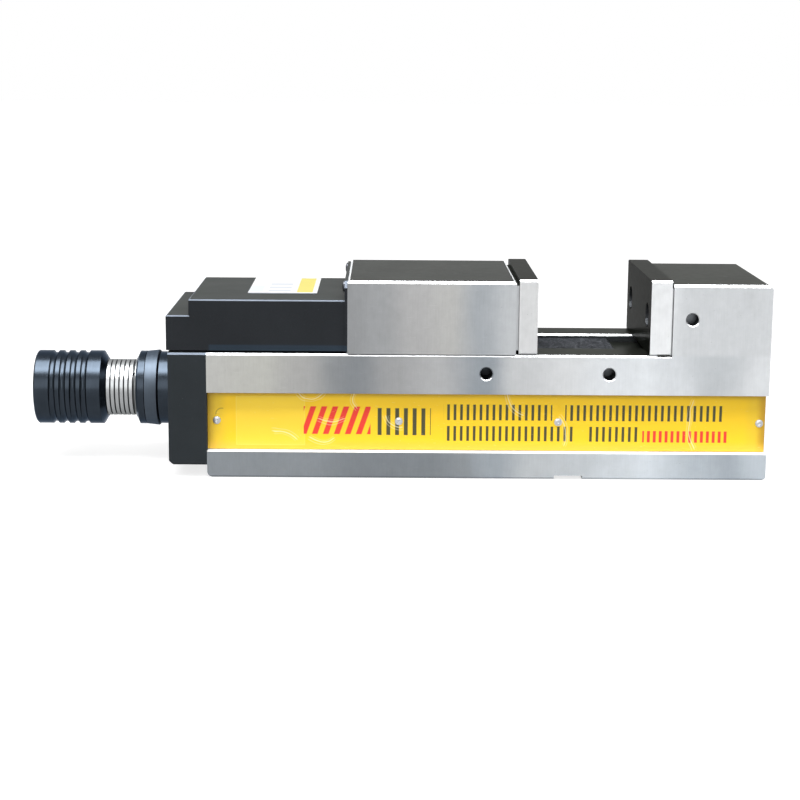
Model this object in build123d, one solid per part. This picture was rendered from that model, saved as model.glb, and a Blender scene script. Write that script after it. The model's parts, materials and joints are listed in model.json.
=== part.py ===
from build123d import *
import math
import os

# Power-operated machine vise, in millimetres.
# +X runs from the handle to the fixed jaw, +Y to the back side, +Z up.
# The origin lies on the base plane, on the centreline, under the fixed jaw plate's clamping face.

# Overall layout
jaw_width = 130.0
bed_height = 89.0
bed_length = 396.0
nose_length = 85.0
opening_at_rest = 79.0
smallest_opening = 1.0
opening_travel = 97.0
spindle_drop = 36.5

# Bed
edge_chamfer = 1.3
tail_corner_radius = 4.0
nose_corner_radius = 3.0
groove_base = 18.5
groove_height = 42.3
groove_depth = 9.0
rail_width = 32.0
channel_depth = 5.6
rail_thickness = 20.0
rail_lip = 5.0
slot_corner_radius = 6.0
bed_wall = 25.0
cavity_floor = 14.0
cavity_corner_radius = 6.0
roof_clearance = 2.0
end_play = 7.0
keyway_width = 20.0
keyway_depth = 2.5
keyway_offset = 55.2

# Work stop holes, tapped for a 10 mm screw
stop_hole_radius = 4.25
stop_hole_drop = 13.6
stop_hole_offsets = (114.3, 27.7)
stop_hole_depths = (20.0, 18.0)
stop_hole_chamfer = 0.8
jaw_hole_offset = 29.4
jaw_hole_height = 25.7
jaw_hole_depth = 12.0

# Fixed jaw
fixed_block_height = 50.3
fixed_plate_thickness = 14.5
fixed_seat_height = 1.2
jaw_plate_height = 53.0
jaw_top_chamfer = 1.7
nose_chamfer = 3.0
seat_inset = 3.0
relief_width = 10.2
relief_depth = 0.8

# Movable jaw
movable_block_length = 118.0
movable_block_height = 51.5
movable_plate_thickness = 13.0
movable_seat_height = 2.0
movable_plate_lift = 0.3
tongue_depth = 2.45
pocket_rear_wall = 14.0
pocket_side_clearance = 0.3
pocket_top_clearance = 2.0
pocket_nose_clearance = 1.5

# Jaw plate screws, 10 mm
plate_screw_inset = 20.0
plate_screw_height = 26.3
plate_screw_radius = 4.95
plate_screw_head_radius = 8.0
plate_screw_head_height = 7.0
plate_screw_grip = 16.0
plate_counterbore_radius = 8.7
plate_counterbore_depth = 8.5
plate_screw_socket = 8.0

# Drive nut and pull-down segment
nut_neck_setback = 43.0
nut_neck_length = 40.0
nut_nose_lip = 14.0
nut_tail_lip = 10.0
nut_wall = 22.0
nut_side_clearance = 0.2
neck_side_clearance = 0.1
hook_reach = 22.0
hook_foot_height = 3.0
hook_crown = 4.0
segment_radius = 11.0
segment_clearance = 0.05
retaining_screw_radius = 5.0
retaining_screw_socket = 5.0
retaining_screw_socket_depth = 5.0

# Channel guard in front of the movable jaw
guard_side_gap = 3.0
guard_thickness = 3.0
guard_reach = 60.5
guard_overlap = 38.0
guard_lift = 0.15
guard_screw_inset = 10.0
guard_screw_setback = 10.0
guard_screw_pitch = 16.0
guard_screw_radius = 2.0
guard_screw_head_radius = 4.0
guard_screw_grip = 10.0

# Chip cover, folded from sheet
sheet = 2.0
cover_side_inset = 2.5
cover_length = 109.3
cover_height = 37.6
cover_gap = 1.5
step_length = 16.0
step_height = 26.3
fold_radius = 1.6
cover_flange_inset = 1.0
cover_flange_drop = 0.7
cover_flange_corner = 4.5
cover_screw_inset = 10.0
cover_screw_drop = 5.2
cover_screw_radius = 2.0
cover_screw_head_radius = 4.0
cover_screw_head_height = 2.2
cover_screw_grip = 8.0
cover_screw_socket = 2.5

# Label on the cover
label_length = 49.5
label_thickness = 0.3
label_setback = 20.5
label_near_inset = 32.5
label_far_inset = 2.5
label_corner = 2.5

# Side plates and their button screws
side_plate_thickness = 1.0
side_plate_inset = 0.4
side_screw_radius = 1.5
side_screw_head_radius = 2.75
side_screw_head_height = 1.65
side_screw_grip = 7.0
side_screw_socket = 2.0
side_screw_tail_offsets = (6.5, 135.5)
side_screw_nose_offsets = (147.5, 4.5)

# Bearing flange at the handle end
flange_thickness = 27.0
flange_lift = 8.7
flange_chamfer = 3.0
flange_screw_high = 76.0
flange_screw_low = 30.0
flange_screw_radius = 4.0
flange_screw_head_radius = 6.5
flange_screw_head_height = 8.0
flange_screw_grip = 20.0
flange_screw_socket = 6.0
counterbore_clearance = 0.7
counterbore_extra_depth = 0.5

# Running fits and assembly clearances
running_fit = 0.05
screw_clearance = 0.05
loose_clearance = 0.3
roller_play = 0.02
blind_hole_reserve = 2.0
small_hole_reserve = 1.0

# How far a cutter runs past the face it starts from
overcut = 1.0

# Screw heads, as shares of the head's height
head_bevel_share = 0.08
head_socket_share = 0.6

# Booster housing, the hollow shaft that turns in the flange
housing_radius = 20.6
journal_radius = 20.0
shoulder_radius = 28.0
shoulder_length = 9.0
shoulder_recess = 1.0
housing_tail = 64.7
ring_count = 7
ring_pitch = 3.3
ring_width = 1.1
ring_depth = 0.8
ring_land = 2.1
bead_length = 1.5
bead_land = 0.3
bead_radius = 22.6
spanner_hole_radius = 0.95
spanner_hole_setback = 1.05
spanner_hole_depth = 5.0
spanner_hole_angle = 37.0

# Thrust and radial bearings
thrust_washer = 3.5
roller_radius = 1.48
roller_length = 7.0
roller_count = 16
roller_circle = 25.3
cage_thickness = 2.2
cage_clearance = 0.1
bearing_radius = 30.3
bearing_pocket_radius = 30.5
bush_wall = 4.0
bush_length = 17.0

# Bearing cap, index ring and lock collar outside the flange
cap_length = 12.4
cap_radius = 26.5
cap_flare = 0.6
cap_lip = 2.4
cap_lip_radius = 22.0
index_ring_length = 9.0
index_ring_gap = 0.4
index_ring_radius = 26.9
index_ring_flare = 0.9
collar_length = 7.0
collar_cone_length = 1.9
collar_radius = 26.9
collar_cone_radius = 22.9
ring_bevel = 0.5

# Grip sleeve
grip_gap = 22.0
grip_length = 51.4
grip_radius = 26.9
grip_nose_length = 3.4
grip_nose_radius = 21.4
grip_edge = 1.0
grip_groove_count = 4
grip_groove_first = 15.3
grip_groove_pitch = 7.6
grip_groove_depth = 1.5
grip_groove_half_width = 2.4
grip_ring_width = 3.0
grip_ring_wall = 1.25
grip_ring_setback = 5.0

# Input shaft, clutch springs and primary piston inside the booster
input_radius = 13.95
input_length = 30.5
input_recess = 2.8
hex_across_flats = 17.0
hex_depth = 14.0
circlip_width = 1.5
circlip_depth = 1.0
circlip_rib = 1.5
circlip_gap = 6.0
spring_count = 4
spring_stack = 10.0
spring_sheet = 1.4
spring_cone = 0.9
spring_inner_radius = 5.6
tail_radius = 5.0
tail_length = 30.0
tail_overlap = 14.5
plunger_radius = 6.0
plunger_length = 22.0
seal_width = 2.0
seal_depth = 1.3
seal_setback = 6.0

# Spindle screw with its ram tail, and the key that turns it
spindle_radius = 16.0
spindle_end_offset = 44.0
spindle_end_chamfer = 2.0
ram_radius = 14.0
ram_length = 38.0
oil_gap = 2.0
ram_seal_width = 3.0
ram_seal_depth = 1.6
ram_seal_setbacks = (4.0, 12.0)
key_width = 6.0
key_length = 12.0
key_height = 6.0
key_depth = 3.0
key_setback = 4.0
key_stroke = 2.0

# Places worked out from the sizes above
half_width = jaw_width / 2
bed_nose_x = nose_length
bed_tail_x = nose_length - bed_length
spindle_z = bed_height - spindle_drop
groove_top = groove_base + groove_height
groove_floor_y = half_width - groove_depth
channel_half = half_width - rail_width
slot_half = channel_half - rail_lip
cavity_half = half_width - bed_wall
channel_floor = bed_height - channel_depth
rail_underside = bed_height - rail_thickness
closing_travel = opening_at_rest - smallest_opening

fixed_plate_back_x = fixed_plate_thickness
fixed_block_x = fixed_plate_back_x + fixed_seat_height
fixed_block_top = bed_height + fixed_block_height
jaw_plate_top = bed_height + jaw_plate_height
plate_screw_y = half_width - plate_screw_inset
plate_screw_z = bed_height + plate_screw_height

movable_face_x = -opening_at_rest
movable_plate_back_x = movable_face_x - movable_plate_thickness
movable_nose_x = movable_plate_back_x - movable_seat_height
movable_tail_x = movable_nose_x - movable_block_length
movable_top = bed_height + movable_block_height
tongue_bottom = bed_height - tongue_depth

neck_nose_x = movable_nose_x - nut_neck_setback
neck_tail_x = neck_nose_x - nut_neck_length
nut_nose_x = neck_nose_x + nut_nose_lip
nut_tail_x = neck_tail_x - nut_tail_lip
nut_top = rail_underside - running_fit
nut_bottom = spindle_z - nut_wall
hook_foot_z = bed_height + hook_foot_height
hook_lip_x = neck_nose_x + hook_reach
hook_lip_z = hook_foot_z + hook_reach
hook_top = hook_lip_z + hook_crown
segment_x = neck_nose_x + hook_reach / 2
segment_z = hook_foot_z + hook_reach / 2
retaining_screw_z = (hook_foot_z + hook_top) / 2

slot_nose_x = neck_nose_x + closing_travel + end_play
slot_tail_x = neck_tail_x - opening_travel - end_play
cavity_nose_x = nut_nose_x + closing_travel + end_play

guard_half = channel_half - guard_side_gap
guard_screw_y = guard_half - guard_screw_inset
guard_top = tongue_bottom
guard_bottom = channel_floor + guard_lift
guard_nose_x = movable_face_x + guard_reach
guard_tail_x = movable_nose_x - guard_overlap

cover_half = half_width - cover_side_inset
cover_flange_half = half_width - cover_flange_inset
cover_screw_y = cover_flange_half - cover_screw_inset
cover_bottom = bed_height + cover_gap
cover_top = bed_height + cover_height
step_top = bed_height + step_height
cover_nose_x = movable_tail_x
cover_tail_x = cover_nose_x - sheet - cover_length
step_tail_x = cover_tail_x - step_length
cover_flange_top = movable_top - cover_flange_drop
cover_screw_z = movable_top - cover_screw_drop

flange_screw_y = (cavity_half + groove_floor_y) / 2
flange_tail_x = bed_tail_x - flange_thickness
cap_tail_x = flange_tail_x - cap_length
index_nose_x = cap_tail_x - index_ring_gap
index_tail_x = index_nose_x - index_ring_length
collar_tail_x = index_tail_x - collar_length
housing_tail_x = collar_tail_x - housing_tail
shoulder_nose_x = bed_tail_x - shoulder_recess
shoulder_tail_x = shoulder_nose_x - shoulder_length
bearing_length = 2 * thrust_washer + 2 * (roller_radius + roller_play)
bearing_tail_x = shoulder_tail_x - bearing_length
bush_radius = journal_radius + bush_wall
bush_tail_x = bearing_tail_x - bush_length
grip_nose_x = collar_tail_x - grip_gap
grip_tail_x = grip_nose_x - grip_length

input_tail_x = housing_tail_x + input_recess
input_nose_x = input_tail_x + input_length
spring_nose_x = input_nose_x + spring_stack
clutch_bore_radius = input_radius + running_fit
tail_end_x = input_nose_x - tail_overlap
plunger_tail_x = tail_end_x + tail_length
plunger_nose_x = plunger_tail_x + plunger_length
ram_nose_x = shoulder_nose_x
ram_tail_x = ram_nose_x - ram_length
plunger_bore_nose_x = ram_tail_x - oil_gap
spindle_end_x = -spindle_end_offset
plunger_bore_radius = plunger_radius + running_fit
ram_bore_radius = ram_radius + running_fit


def slab(x_low, x_high, y_low, y_high, z_low, z_high):
    """Return the box between two corners."""
    centre = Pos((x_low + x_high) / 2, (y_low + y_high) / 2, (z_low + z_high) / 2)
    return centre * Box(x_high - x_low, y_high - y_low, z_high - z_low)


def bar(x_low, x_high, radius, y=0.0, z=spindle_z):
    """Return a round bar that lies along X."""
    centre = Pos((x_low + x_high) / 2, y, z)
    return centre * Rot(0, 90, 0) * Cylinder(radius, x_high - x_low)


def turned(profile):
    """Return the solid that (x, radius) corners sweep round the spindle axis."""
    face = Plane.XZ * make_face(Polyline(*profile, close=True))
    return Pos(0, 0, spindle_z) * revolve(face, Axis.X)


def sleeve(x_low, x_high, inner_radius, outer_radius):
    """Return a plain tube on the spindle axis."""
    corners = [
        (x_low, inner_radius),
        (x_high, inner_radius),
        (x_high, outer_radius),
        (x_low, outer_radius),
    ]
    return turned(corners)


def across(profile, reach):
    """Return an X-Z outline thickened by reach to each side of the centreline."""
    face = Plane.XZ * make_face(Polyline(*profile, close=True))
    return extrude(face, amount=reach, both=True)


def hexagon_bar(across_flats, length):
    """Return a hexagonal bar that rises from z = 0."""
    outline = RegularPolygon(across_flats / 2, 6, major_radius=False)
    return extrude(outline, amount=length)


def cap_screw(shank_radius, shank_length, head_radius, head_height, across_flats):
    """Return a socket head screw on Z, its seat at z = 0 and its shank below."""
    head = Pos(0, 0, head_height / 2) * Cylinder(head_radius, head_height)
    head = chamfer(head.edges().sort_by(Axis.Z)[-1], head_height * head_bevel_share)
    shank = Pos(0, 0, -shank_length / 2) * Cylinder(shank_radius, shank_length)
    socket_depth = head_height * head_socket_share
    socket = Pos(0, 0, head_height - socket_depth) * hexagon_bar(across_flats, socket_depth)
    return head + shank - socket


def button_screw(shank_radius, shank_length, head_radius, head_height, across_flats):
    """Return a domed socket screw on Z, its seat at z = 0 and its shank below."""
    dome_radius = (head_radius**2 + head_height**2) / (2 * head_height)
    dome = Pos(0, 0, head_height - dome_radius) * Sphere(dome_radius)
    dome = dome & Pos(0, 0, head_height / 2) * Cylinder(head_radius, head_height)
    shank = Pos(0, 0, -shank_length / 2) * Cylinder(shank_radius, shank_length)
    socket_depth = head_height * head_socket_share
    socket = Pos(0, 0, head_height - socket_depth) * hexagon_bar(across_flats, socket_depth)
    return dome + shank - socket


def side_bore(x, z, side, depth):
    """Return the cutter of a tapped stop hole in the vise's side, with a chamfered mouth."""
    drill = Pos(0, 0, -depth / 2) * Cylinder(stop_hole_radius, depth)
    mouth_radius = stop_hole_radius + stop_hole_chamfer
    mouth = Pos(0, 0, -stop_hole_chamfer / 2) * Cone(stop_hole_radius, mouth_radius, stop_hole_chamfer)
    cutter = drill + mouth
    return Pos(x, side * half_width, z) * Rot(-90 * side, 0, 0) * cutter


def end_corner(x, lean, radius):
    """Return the cutter that rounds the bed's lower edge at one end."""
    side = half_width + overcut
    x_pair = sorted((x - lean * overcut, x + lean * radius))
    corner = slab(x_pair[0], x_pair[1], -side, side, -overcut, radius)
    roller = Cylinder(radius, 2 * (side + overcut))
    return corner - Pos(x + lean * radius, 0, radius) * Rot(90, 0, 0) * roller


def bed_section():
    """Return the bed's cross-section as (y, z) corners, with its grooves and channel."""
    right = [
        (half_width - edge_chamfer, 0.0),
        (half_width, edge_chamfer),
        (half_width, groove_base),
        (groove_floor_y, groove_base),
        (groove_floor_y, groove_top),
        (half_width, groove_top),
        (half_width, bed_height - edge_chamfer),
        (half_width - edge_chamfer, bed_height),
        (channel_half + edge_chamfer, bed_height),
        (channel_half, bed_height - edge_chamfer),
        (channel_half, channel_floor),
    ]
    left = [(-y, z) for y, z in reversed(right)]
    return right + left


def stop_holes():
    """Return the cutters of the tapped holes for a work stop, alike on both sides."""
    cutters = []
    for side in (-1, 1):
        for offset, depth in zip(stop_hole_offsets, stop_hole_depths):
            cutters.append(side_bore(-offset, bed_height - stop_hole_drop, side, depth))
        cutters.append(side_bore(jaw_hole_offset, bed_height + jaw_hole_height, side, jaw_hole_depth))
    return cutters


def fixed_block():
    """Return the fixed jaw's block with its raised seat for the jaw plate."""
    root = bed_height - channel_depth / 2
    block = slab(fixed_block_x, bed_nose_x, -half_width, half_width, root, fixed_block_top)
    nose_edge = block.edges().filter_by(Axis.Y).group_by(Axis.Z)[-1].sort_by(Axis.X)[-1]
    block = chamfer(nose_edge, nose_chamfer)
    top_edges = block.faces().sort_by(Axis.Z)[-1].edges()
    side_edges = top_edges.filter_by(Axis.X)
    block = chamfer(side_edges, jaw_top_chamfer)
    inner = half_width - seat_inset
    seat_top = fixed_block_top - seat_inset
    seat = slab(fixed_plate_back_x, fixed_block_x, -inner, inner, bed_height, seat_top)
    return block + seat


def vise_body():
    """Return the one-piece bed and fixed jaw."""
    section = Plane.YZ * make_face(Polyline(*bed_section(), close=True))
    body = Pos(bed_tail_x, 0, 0) * extrude(section, amount=bed_length)
    side = half_width + overcut
    body -= end_corner(bed_tail_x, 1, tail_corner_radius)
    body -= end_corner(bed_nose_x, -1, nose_corner_radius)
    relief_start = fixed_block_x - relief_width
    relief_low = bed_height - relief_depth
    body -= slab(relief_start, fixed_block_x, -side, side, relief_low, bed_height + overcut)
    body += fixed_block()
    nose_x = bed_nose_x + overcut
    body -= slab(fixed_plate_back_x, nose_x, -channel_half, channel_half, channel_floor, bed_height)
    body -= bed_cavity()
    body -= bed_slot()
    body -= bar(bed_tail_x - overcut, cavity_nose_x, spindle_radius + roof_clearance)
    key_half = keyway_width / 2
    key_x = -keyway_offset
    body -= slab(key_x - key_half, key_x + key_half, -side, side, -overcut, keyway_depth)
    for cutter in stop_holes():
        body -= cutter
    for cutter in flange_screw_holes() + side_screw_holes() + fixed_plate_screw_holes():
        body -= cutter
    return body


def bed_cavity():
    """Return the hollow under the rails, open at the handle end."""
    tail_x = bed_tail_x - overcut
    hollow = slab(tail_x, cavity_nose_x, -cavity_half, cavity_half, cavity_floor, rail_underside)
    low_edges = hollow.edges().filter_by(Axis.X).group_by(Axis.Z)[0]
    return fillet(low_edges, cavity_corner_radius)


def bed_slot():
    """Return the slot between the rails that the nut's neck runs in."""
    low = rail_underside - overcut
    high = channel_floor + overcut
    slot = slab(slot_tail_x, slot_nose_x, -slot_half, slot_half, low, high)
    return fillet(slot.edges().filter_by(Axis.Z), slot_corner_radius)


def flange_screw_places():
    """Return the (y, z) places of the four flange screws."""
    places = []
    for y in (-flange_screw_y, flange_screw_y):
        for z in (flange_screw_low, flange_screw_high):
            places.append((y, z))
    return places


def flange_screw_holes():
    """Return the cutters of the tapped holes in the bed's handle end."""
    radius = flange_screw_radius + screw_clearance
    end = bed_tail_x + flange_screw_grip + blind_hole_reserve
    return [bar(bed_tail_x - overcut, end, radius, y, z) for y, z in flange_screw_places()]


def side_screw_spots():
    """Return (x, z, side) of the screws that hold the side plates."""
    z = (groove_base + groove_top) / 2
    spots = []
    for side in (-1, 1):
        for offset in side_screw_tail_offsets:
            spots.append((bed_tail_x + offset, z, side))
        for offset in side_screw_nose_offsets:
            spots.append((bed_nose_x - offset, z, side))
    return spots


def side_screw_holes():
    """Return the cutters of the small tapped holes in the groove floors."""
    radius = side_screw_radius + screw_clearance
    depth = side_screw_grip + small_hole_reserve
    cutters = []
    for x, z, side in side_screw_spots():
        drill = Pos(0, 0, -depth / 2) * Cylinder(radius, depth)
        cutters.append(Pos(x, side * groove_floor_y, z) * Rot(-90 * side, 0, 0) * drill)
    return cutters


def fixed_plate_screw_holes():
    """Return the cutters of the fixed jaw plate's tapped holes."""
    radius = plate_screw_radius + screw_clearance
    end = fixed_block_x + plate_screw_grip + blind_hole_reserve
    cutters = []
    for side in (-1, 1):
        y = side * plate_screw_y
        cutters.append(bar(fixed_plate_back_x - overcut, end, radius, y, plate_screw_z))
    return cutters


def jaw_plate(x_low, x_high, z_low, face_x, inward):
    """Return a hardened jaw plate with two counterbored holes in its clamping face."""
    plate = slab(x_low, x_high, -half_width, half_width, z_low, jaw_plate_top)
    plate = chamfer(plate.edges().filter_by(Axis.X), edge_chamfer)
    for side in (-1, 1):
        y = side * plate_screw_y
        floor_x = face_x + inward * plate_counterbore_depth
        plate -= bar(min(face_x, floor_x), max(face_x, floor_x), plate_counterbore_radius, y, plate_screw_z)
        through_radius = plate_screw_radius + loose_clearance
        plate -= bar(x_low - overcut, x_high + overcut, through_radius, y, plate_screw_z)
    return plate


def jaw_plate_screws(face_x, inward, seat_height, plate_thickness):
    """Return the two screws of a jaw plate, their heads sunk below its face."""
    length = plate_thickness - plate_counterbore_depth + seat_height + plate_screw_grip
    screw = cap_screw(
        plate_screw_radius, length, plate_screw_head_radius, plate_screw_head_height, plate_screw_socket
    )
    seat_x = face_x + inward * plate_counterbore_depth
    screws = []
    for side in (-1, 1):
        y = side * plate_screw_y
        screws.append(Pos(seat_x, y, plate_screw_z) * Rot(0, -90 * inward, 0) * screw)
    return Compound(children=screws)


def jaw_pocket():
    """Return the movable jaw's inner pocket, shaped round the nut's hook."""
    gap = loose_clearance
    rear_x = movable_tail_x + pocket_rear_wall
    top = hook_top + pocket_top_clearance
    nose_x = hook_lip_x + pocket_nose_clearance
    foot_x = neck_nose_x + gap
    lip_z = hook_foot_z + nose_x - foot_x
    outline = [
        (rear_x, tongue_bottom - overcut),
        (rear_x, top),
        (nose_x, top),
        (nose_x, lip_z),
        (foot_x, hook_foot_z),
        (foot_x, tongue_bottom - overcut),
    ]
    return across(outline, slot_half + pocket_side_clearance)


def segment_ball(radius):
    """Return half a ball that faces forwards and down from the hook's slope."""
    half_ball = Sphere(radius, arc_size1=0, arc_size2=90, align=None)
    return Pos(segment_x, 0, segment_z) * Rot(0, 135, 0) * half_ball


def movable_jaw():
    """Return the sliding jaw block with its seat, tongue, pocket and socket."""
    block = slab(movable_tail_x, movable_nose_x, -half_width, half_width, bed_height, movable_top)
    block = chamfer(block.faces().sort_by(Axis.Z)[-1].edges(), jaw_top_chamfer)
    inner = half_width - seat_inset
    seat_low = bed_height + seat_inset
    seat_high = movable_top - seat_inset
    block += slab(movable_nose_x, movable_plate_back_x, -inner, inner, seat_low, seat_high)
    tongue = channel_half - running_fit
    block += slab(movable_tail_x, movable_nose_x, -tongue, tongue, tongue_bottom, bed_height)
    block -= jaw_pocket()
    block -= segment_ball(segment_radius + segment_clearance)
    radius = retaining_screw_radius + screw_clearance
    block -= bar(movable_tail_x - overcut, neck_tail_x - overcut, radius, 0, retaining_screw_z)
    for side in (-1, 1):
        y = side * plate_screw_y
        radius = plate_screw_radius + screw_clearance
        end = movable_nose_x - plate_screw_grip - blind_hole_reserve
        block -= bar(end, movable_plate_back_x + overcut, radius, y, plate_screw_z)
        y = side * cover_screw_y
        radius = cover_screw_radius + screw_clearance
        end = movable_tail_x + cover_screw_grip + small_hole_reserve
        block -= bar(movable_tail_x - overcut, end, radius, y, cover_screw_z)
    for x, y in guard_screw_spots():
        height = guard_screw_grip + small_hole_reserve
        drill = Cylinder(guard_screw_radius + screw_clearance, height)
        block -= Pos(x, y, tongue_bottom + height / 2) * drill
    return block


def drive_nut():
    """Return the nut: a body under the rails, a neck in the slot and a hook in the jaw."""
    reach = cavity_half - nut_side_clearance
    base = slab(nut_tail_x, nut_nose_x, -reach, reach, nut_bottom, nut_top)
    base = chamfer(base.edges().filter_by(Axis.X).group_by(Axis.Z)[0], cavity_corner_radius / 2)
    hook = [
        (neck_tail_x, nut_top - overcut),
        (neck_tail_x, hook_top),
        (hook_lip_x, hook_top),
        (hook_lip_x, hook_lip_z),
        (neck_nose_x, hook_foot_z),
        (neck_nose_x, nut_top - overcut),
    ]
    nut = base + across(hook, slot_half - neck_side_clearance)
    return nut - bar(nut_tail_x - overcut, nut_nose_x + overcut, spindle_radius + running_fit)


def retaining_screw():
    """Return the grub screw in the jaw's rear wall that keeps the nut against the jaw."""
    screw = bar(movable_tail_x, neck_tail_x, retaining_screw_radius, 0, retaining_screw_z)
    socket = hexagon_bar(retaining_screw_socket, retaining_screw_socket_depth)
    return screw - Pos(movable_tail_x, 0, retaining_screw_z) * Rot(0, 90, 0) * socket


def guard_screw_spots():
    """Return the (x, y) places of the screws that hold the channel guard."""
    spots = []
    for step in range(2):
        x = movable_nose_x - guard_screw_setback - step * guard_screw_pitch
        for side in (-1, 1):
            spots.append((x, side * guard_screw_y))
    return spots


def guard_screw(clearance):
    """Return a countersunk screw on Z, its head's flat at z = 0 and its shank above."""
    cone_height = guard_screw_head_radius - guard_screw_radius
    head_radius = guard_screw_head_radius + clearance
    shank_radius = guard_screw_radius + clearance
    head = Pos(0, 0, cone_height / 2) * Cone(head_radius, shank_radius, cone_height)
    length = guard_thickness + guard_screw_grip
    return head + Pos(0, 0, length / 2) * Cylinder(shank_radius, length)


def slot_guard():
    """Return the flat guard that covers the channel in front of the movable jaw."""
    low = guard_top - guard_thickness
    guard = slab(guard_tail_x, guard_nose_x, -guard_half, guard_half, low, guard_top)
    nose_edge = guard.edges().filter_by(Axis.Y).group_by(Axis.X)[-1].sort_by(Axis.Z)[-1]
    guard = chamfer(nose_edge, guard_thickness / 2)
    for x, y in guard_screw_spots():
        guard -= Pos(x, y, low) * guard_screw(screw_clearance)
    return guard


def guard_screws():
    """Return the countersunk screws of the channel guard."""
    low = guard_top - guard_thickness
    return Compound(children=[Pos(x, y, low) * guard_screw(0) for x, y in guard_screw_spots()])


def folded_box(x_low, x_high, top):
    """Return one length of the cover as a block, rounded where its sheet is folded."""
    block = slab(x_low, x_high, -cover_half, cover_half, cover_bottom, top)
    folds = block.edges().filter_by(Axis.X).group_by(Axis.Z)[-1]
    folds += block.edges().filter_by(Axis.Y).group_by(Axis.Z)[-1].sort_by(Axis.X)[0]
    folds += block.edges().filter_by(Axis.Z).group_by(Axis.X)[0]
    return fillet(folds, fold_radius)


def chip_cover():
    """Return the stepped sheet cover behind the movable jaw, with its screwed flange."""
    main = folded_box(cover_tail_x, cover_nose_x - sheet, cover_top)
    step = folded_box(step_tail_x, cover_tail_x + sheet, step_top)
    flange = cover_flange()
    inner = cover_half - sheet
    low = cover_bottom - overcut
    hollow = slab(cover_tail_x + sheet, cover_nose_x + overcut, -inner, inner, low, cover_top - sheet)
    step_hollow = slab(step_tail_x + sheet, cover_tail_x + sheet, -inner, inner, low, step_top - sheet)
    return main + step + flange - hollow - step_hollow


def cover_flange():
    """Return the cover's upright flange, which screws to the back of the movable jaw."""
    reach = cover_flange_half
    plate = slab(cover_nose_x - sheet, cover_nose_x, -reach, reach, cover_bottom, cover_flange_top)
    plate = chamfer(plate.edges().filter_by(Axis.X).group_by(Axis.Z)[-1], cover_flange_corner)
    for side in (-1, 1):
        y = side * cover_screw_y
        radius = cover_screw_radius + loose_clearance
        plate -= bar(cover_nose_x - sheet - overcut, cover_nose_x + overcut, radius, y, cover_screw_z)
    return plate


def cover_screws():
    """Return the two button screws above the cover."""
    screw = button_screw(
        cover_screw_radius,
        sheet + cover_screw_grip,
        cover_screw_head_radius,
        cover_screw_head_height,
        cover_screw_socket,
    )
    screws = []
    for side in (-1, 1):
        y = side * cover_screw_y
        screws.append(Pos(cover_nose_x - sheet, y, cover_screw_z) * Rot(0, -90, 0) * screw)
    return Compound(children=screws)


def cover_label():
    """Return the thin label on top of the cover."""
    x_high = cover_nose_x - sheet - label_setback
    y_low = label_near_inset - cover_half
    y_high = cover_half - label_far_inset
    label = slab(x_high - label_length, x_high, y_low, y_high, cover_top, cover_top + label_thickness)
    return fillet(label.edges().filter_by(Axis.Z), label_corner)


def side_plate(side):
    """Return the thin coloured plate on the floor of a side groove."""
    outer = groove_floor_y + side_plate_thickness
    low = groove_base + side_plate_inset
    high = groove_top - side_plate_inset
    y_pair = sorted((side * groove_floor_y, side * outer))
    plate = slab(bed_tail_x, bed_nose_x - side_plate_inset, y_pair[0], y_pair[1], low, high)
    for x, z, spot_side in side_screw_spots():
        if spot_side == side:
            drill = Cylinder(side_screw_radius + loose_clearance, 4 * side_plate_thickness)
            plate -= Pos(x, side * groove_floor_y, z) * Rot(90, 0, 0) * drill
    return plate


def side_plate_screws():
    """Return the button screws of both side plates."""
    screw = button_screw(
        side_screw_radius,
        side_plate_thickness + side_screw_grip,
        side_screw_head_radius,
        side_screw_head_height,
        side_screw_socket,
    )
    screws = []
    for x, z, side in side_screw_spots():
        y = side * (groove_floor_y + side_plate_thickness)
        screws.append(Pos(x, y, z) * Rot(-90 * side, 0, 0) * screw)
    return Compound(children=screws)


def bearing_flange():
    """Return the black end flange that holds the spindle bearings."""
    plate = slab(flange_tail_x, bed_tail_x, -half_width, half_width, flange_lift, bed_height)
    low_edge = plate.edges().filter_by(Axis.Y).group_by(Axis.Z)[0].sort_by(Axis.X)[0]
    plate = chamfer(low_edge, flange_chamfer)
    long_edges = plate.edges().filter_by(Axis.X)
    plate = chamfer(long_edges, edge_chamfer)
    plate -= bar(flange_tail_x - overcut, bed_tail_x + overcut, bush_radius)
    plate -= bar(bearing_tail_x, bed_tail_x + overcut, bearing_pocket_radius)
    head_radius = flange_screw_head_radius + counterbore_clearance
    head_depth = flange_screw_head_height + counterbore_extra_depth
    for y, z in flange_screw_places():
        plate -= bar(flange_tail_x - overcut, flange_tail_x + head_depth, head_radius, y, z)
        plate -= bar(flange_tail_x, bed_tail_x + overcut, flange_screw_radius + loose_clearance, y, z)
    return plate


def flange_screws():
    """Return the four cap screws that hold the flange on the bed."""
    head_depth = flange_screw_head_height + counterbore_extra_depth
    screw = cap_screw(
        flange_screw_radius,
        flange_thickness - head_depth + flange_screw_grip,
        flange_screw_head_radius,
        flange_screw_head_height,
        flange_screw_socket,
    )
    screws = []
    for y, z in flange_screw_places():
        screws.append(Pos(flange_tail_x + head_depth, y, z) * Rot(0, -90, 0) * screw)
    return Compound(children=screws)


def bearing_cap():
    """Return the glossy ring outside the flange, which holds the bush and its wiper."""
    profile = [
        (cap_tail_x + ring_bevel, cap_radius),
        (flange_tail_x - 2 * ring_bevel, cap_radius),
        (flange_tail_x, cap_radius + cap_flare),
        (flange_tail_x, bush_radius),
        (cap_tail_x + cap_lip, bush_radius),
        (cap_tail_x + cap_lip, cap_lip_radius),
        (cap_tail_x, cap_lip_radius),
        (cap_tail_x, cap_radius - ring_bevel),
    ]
    return turned(profile)


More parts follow.
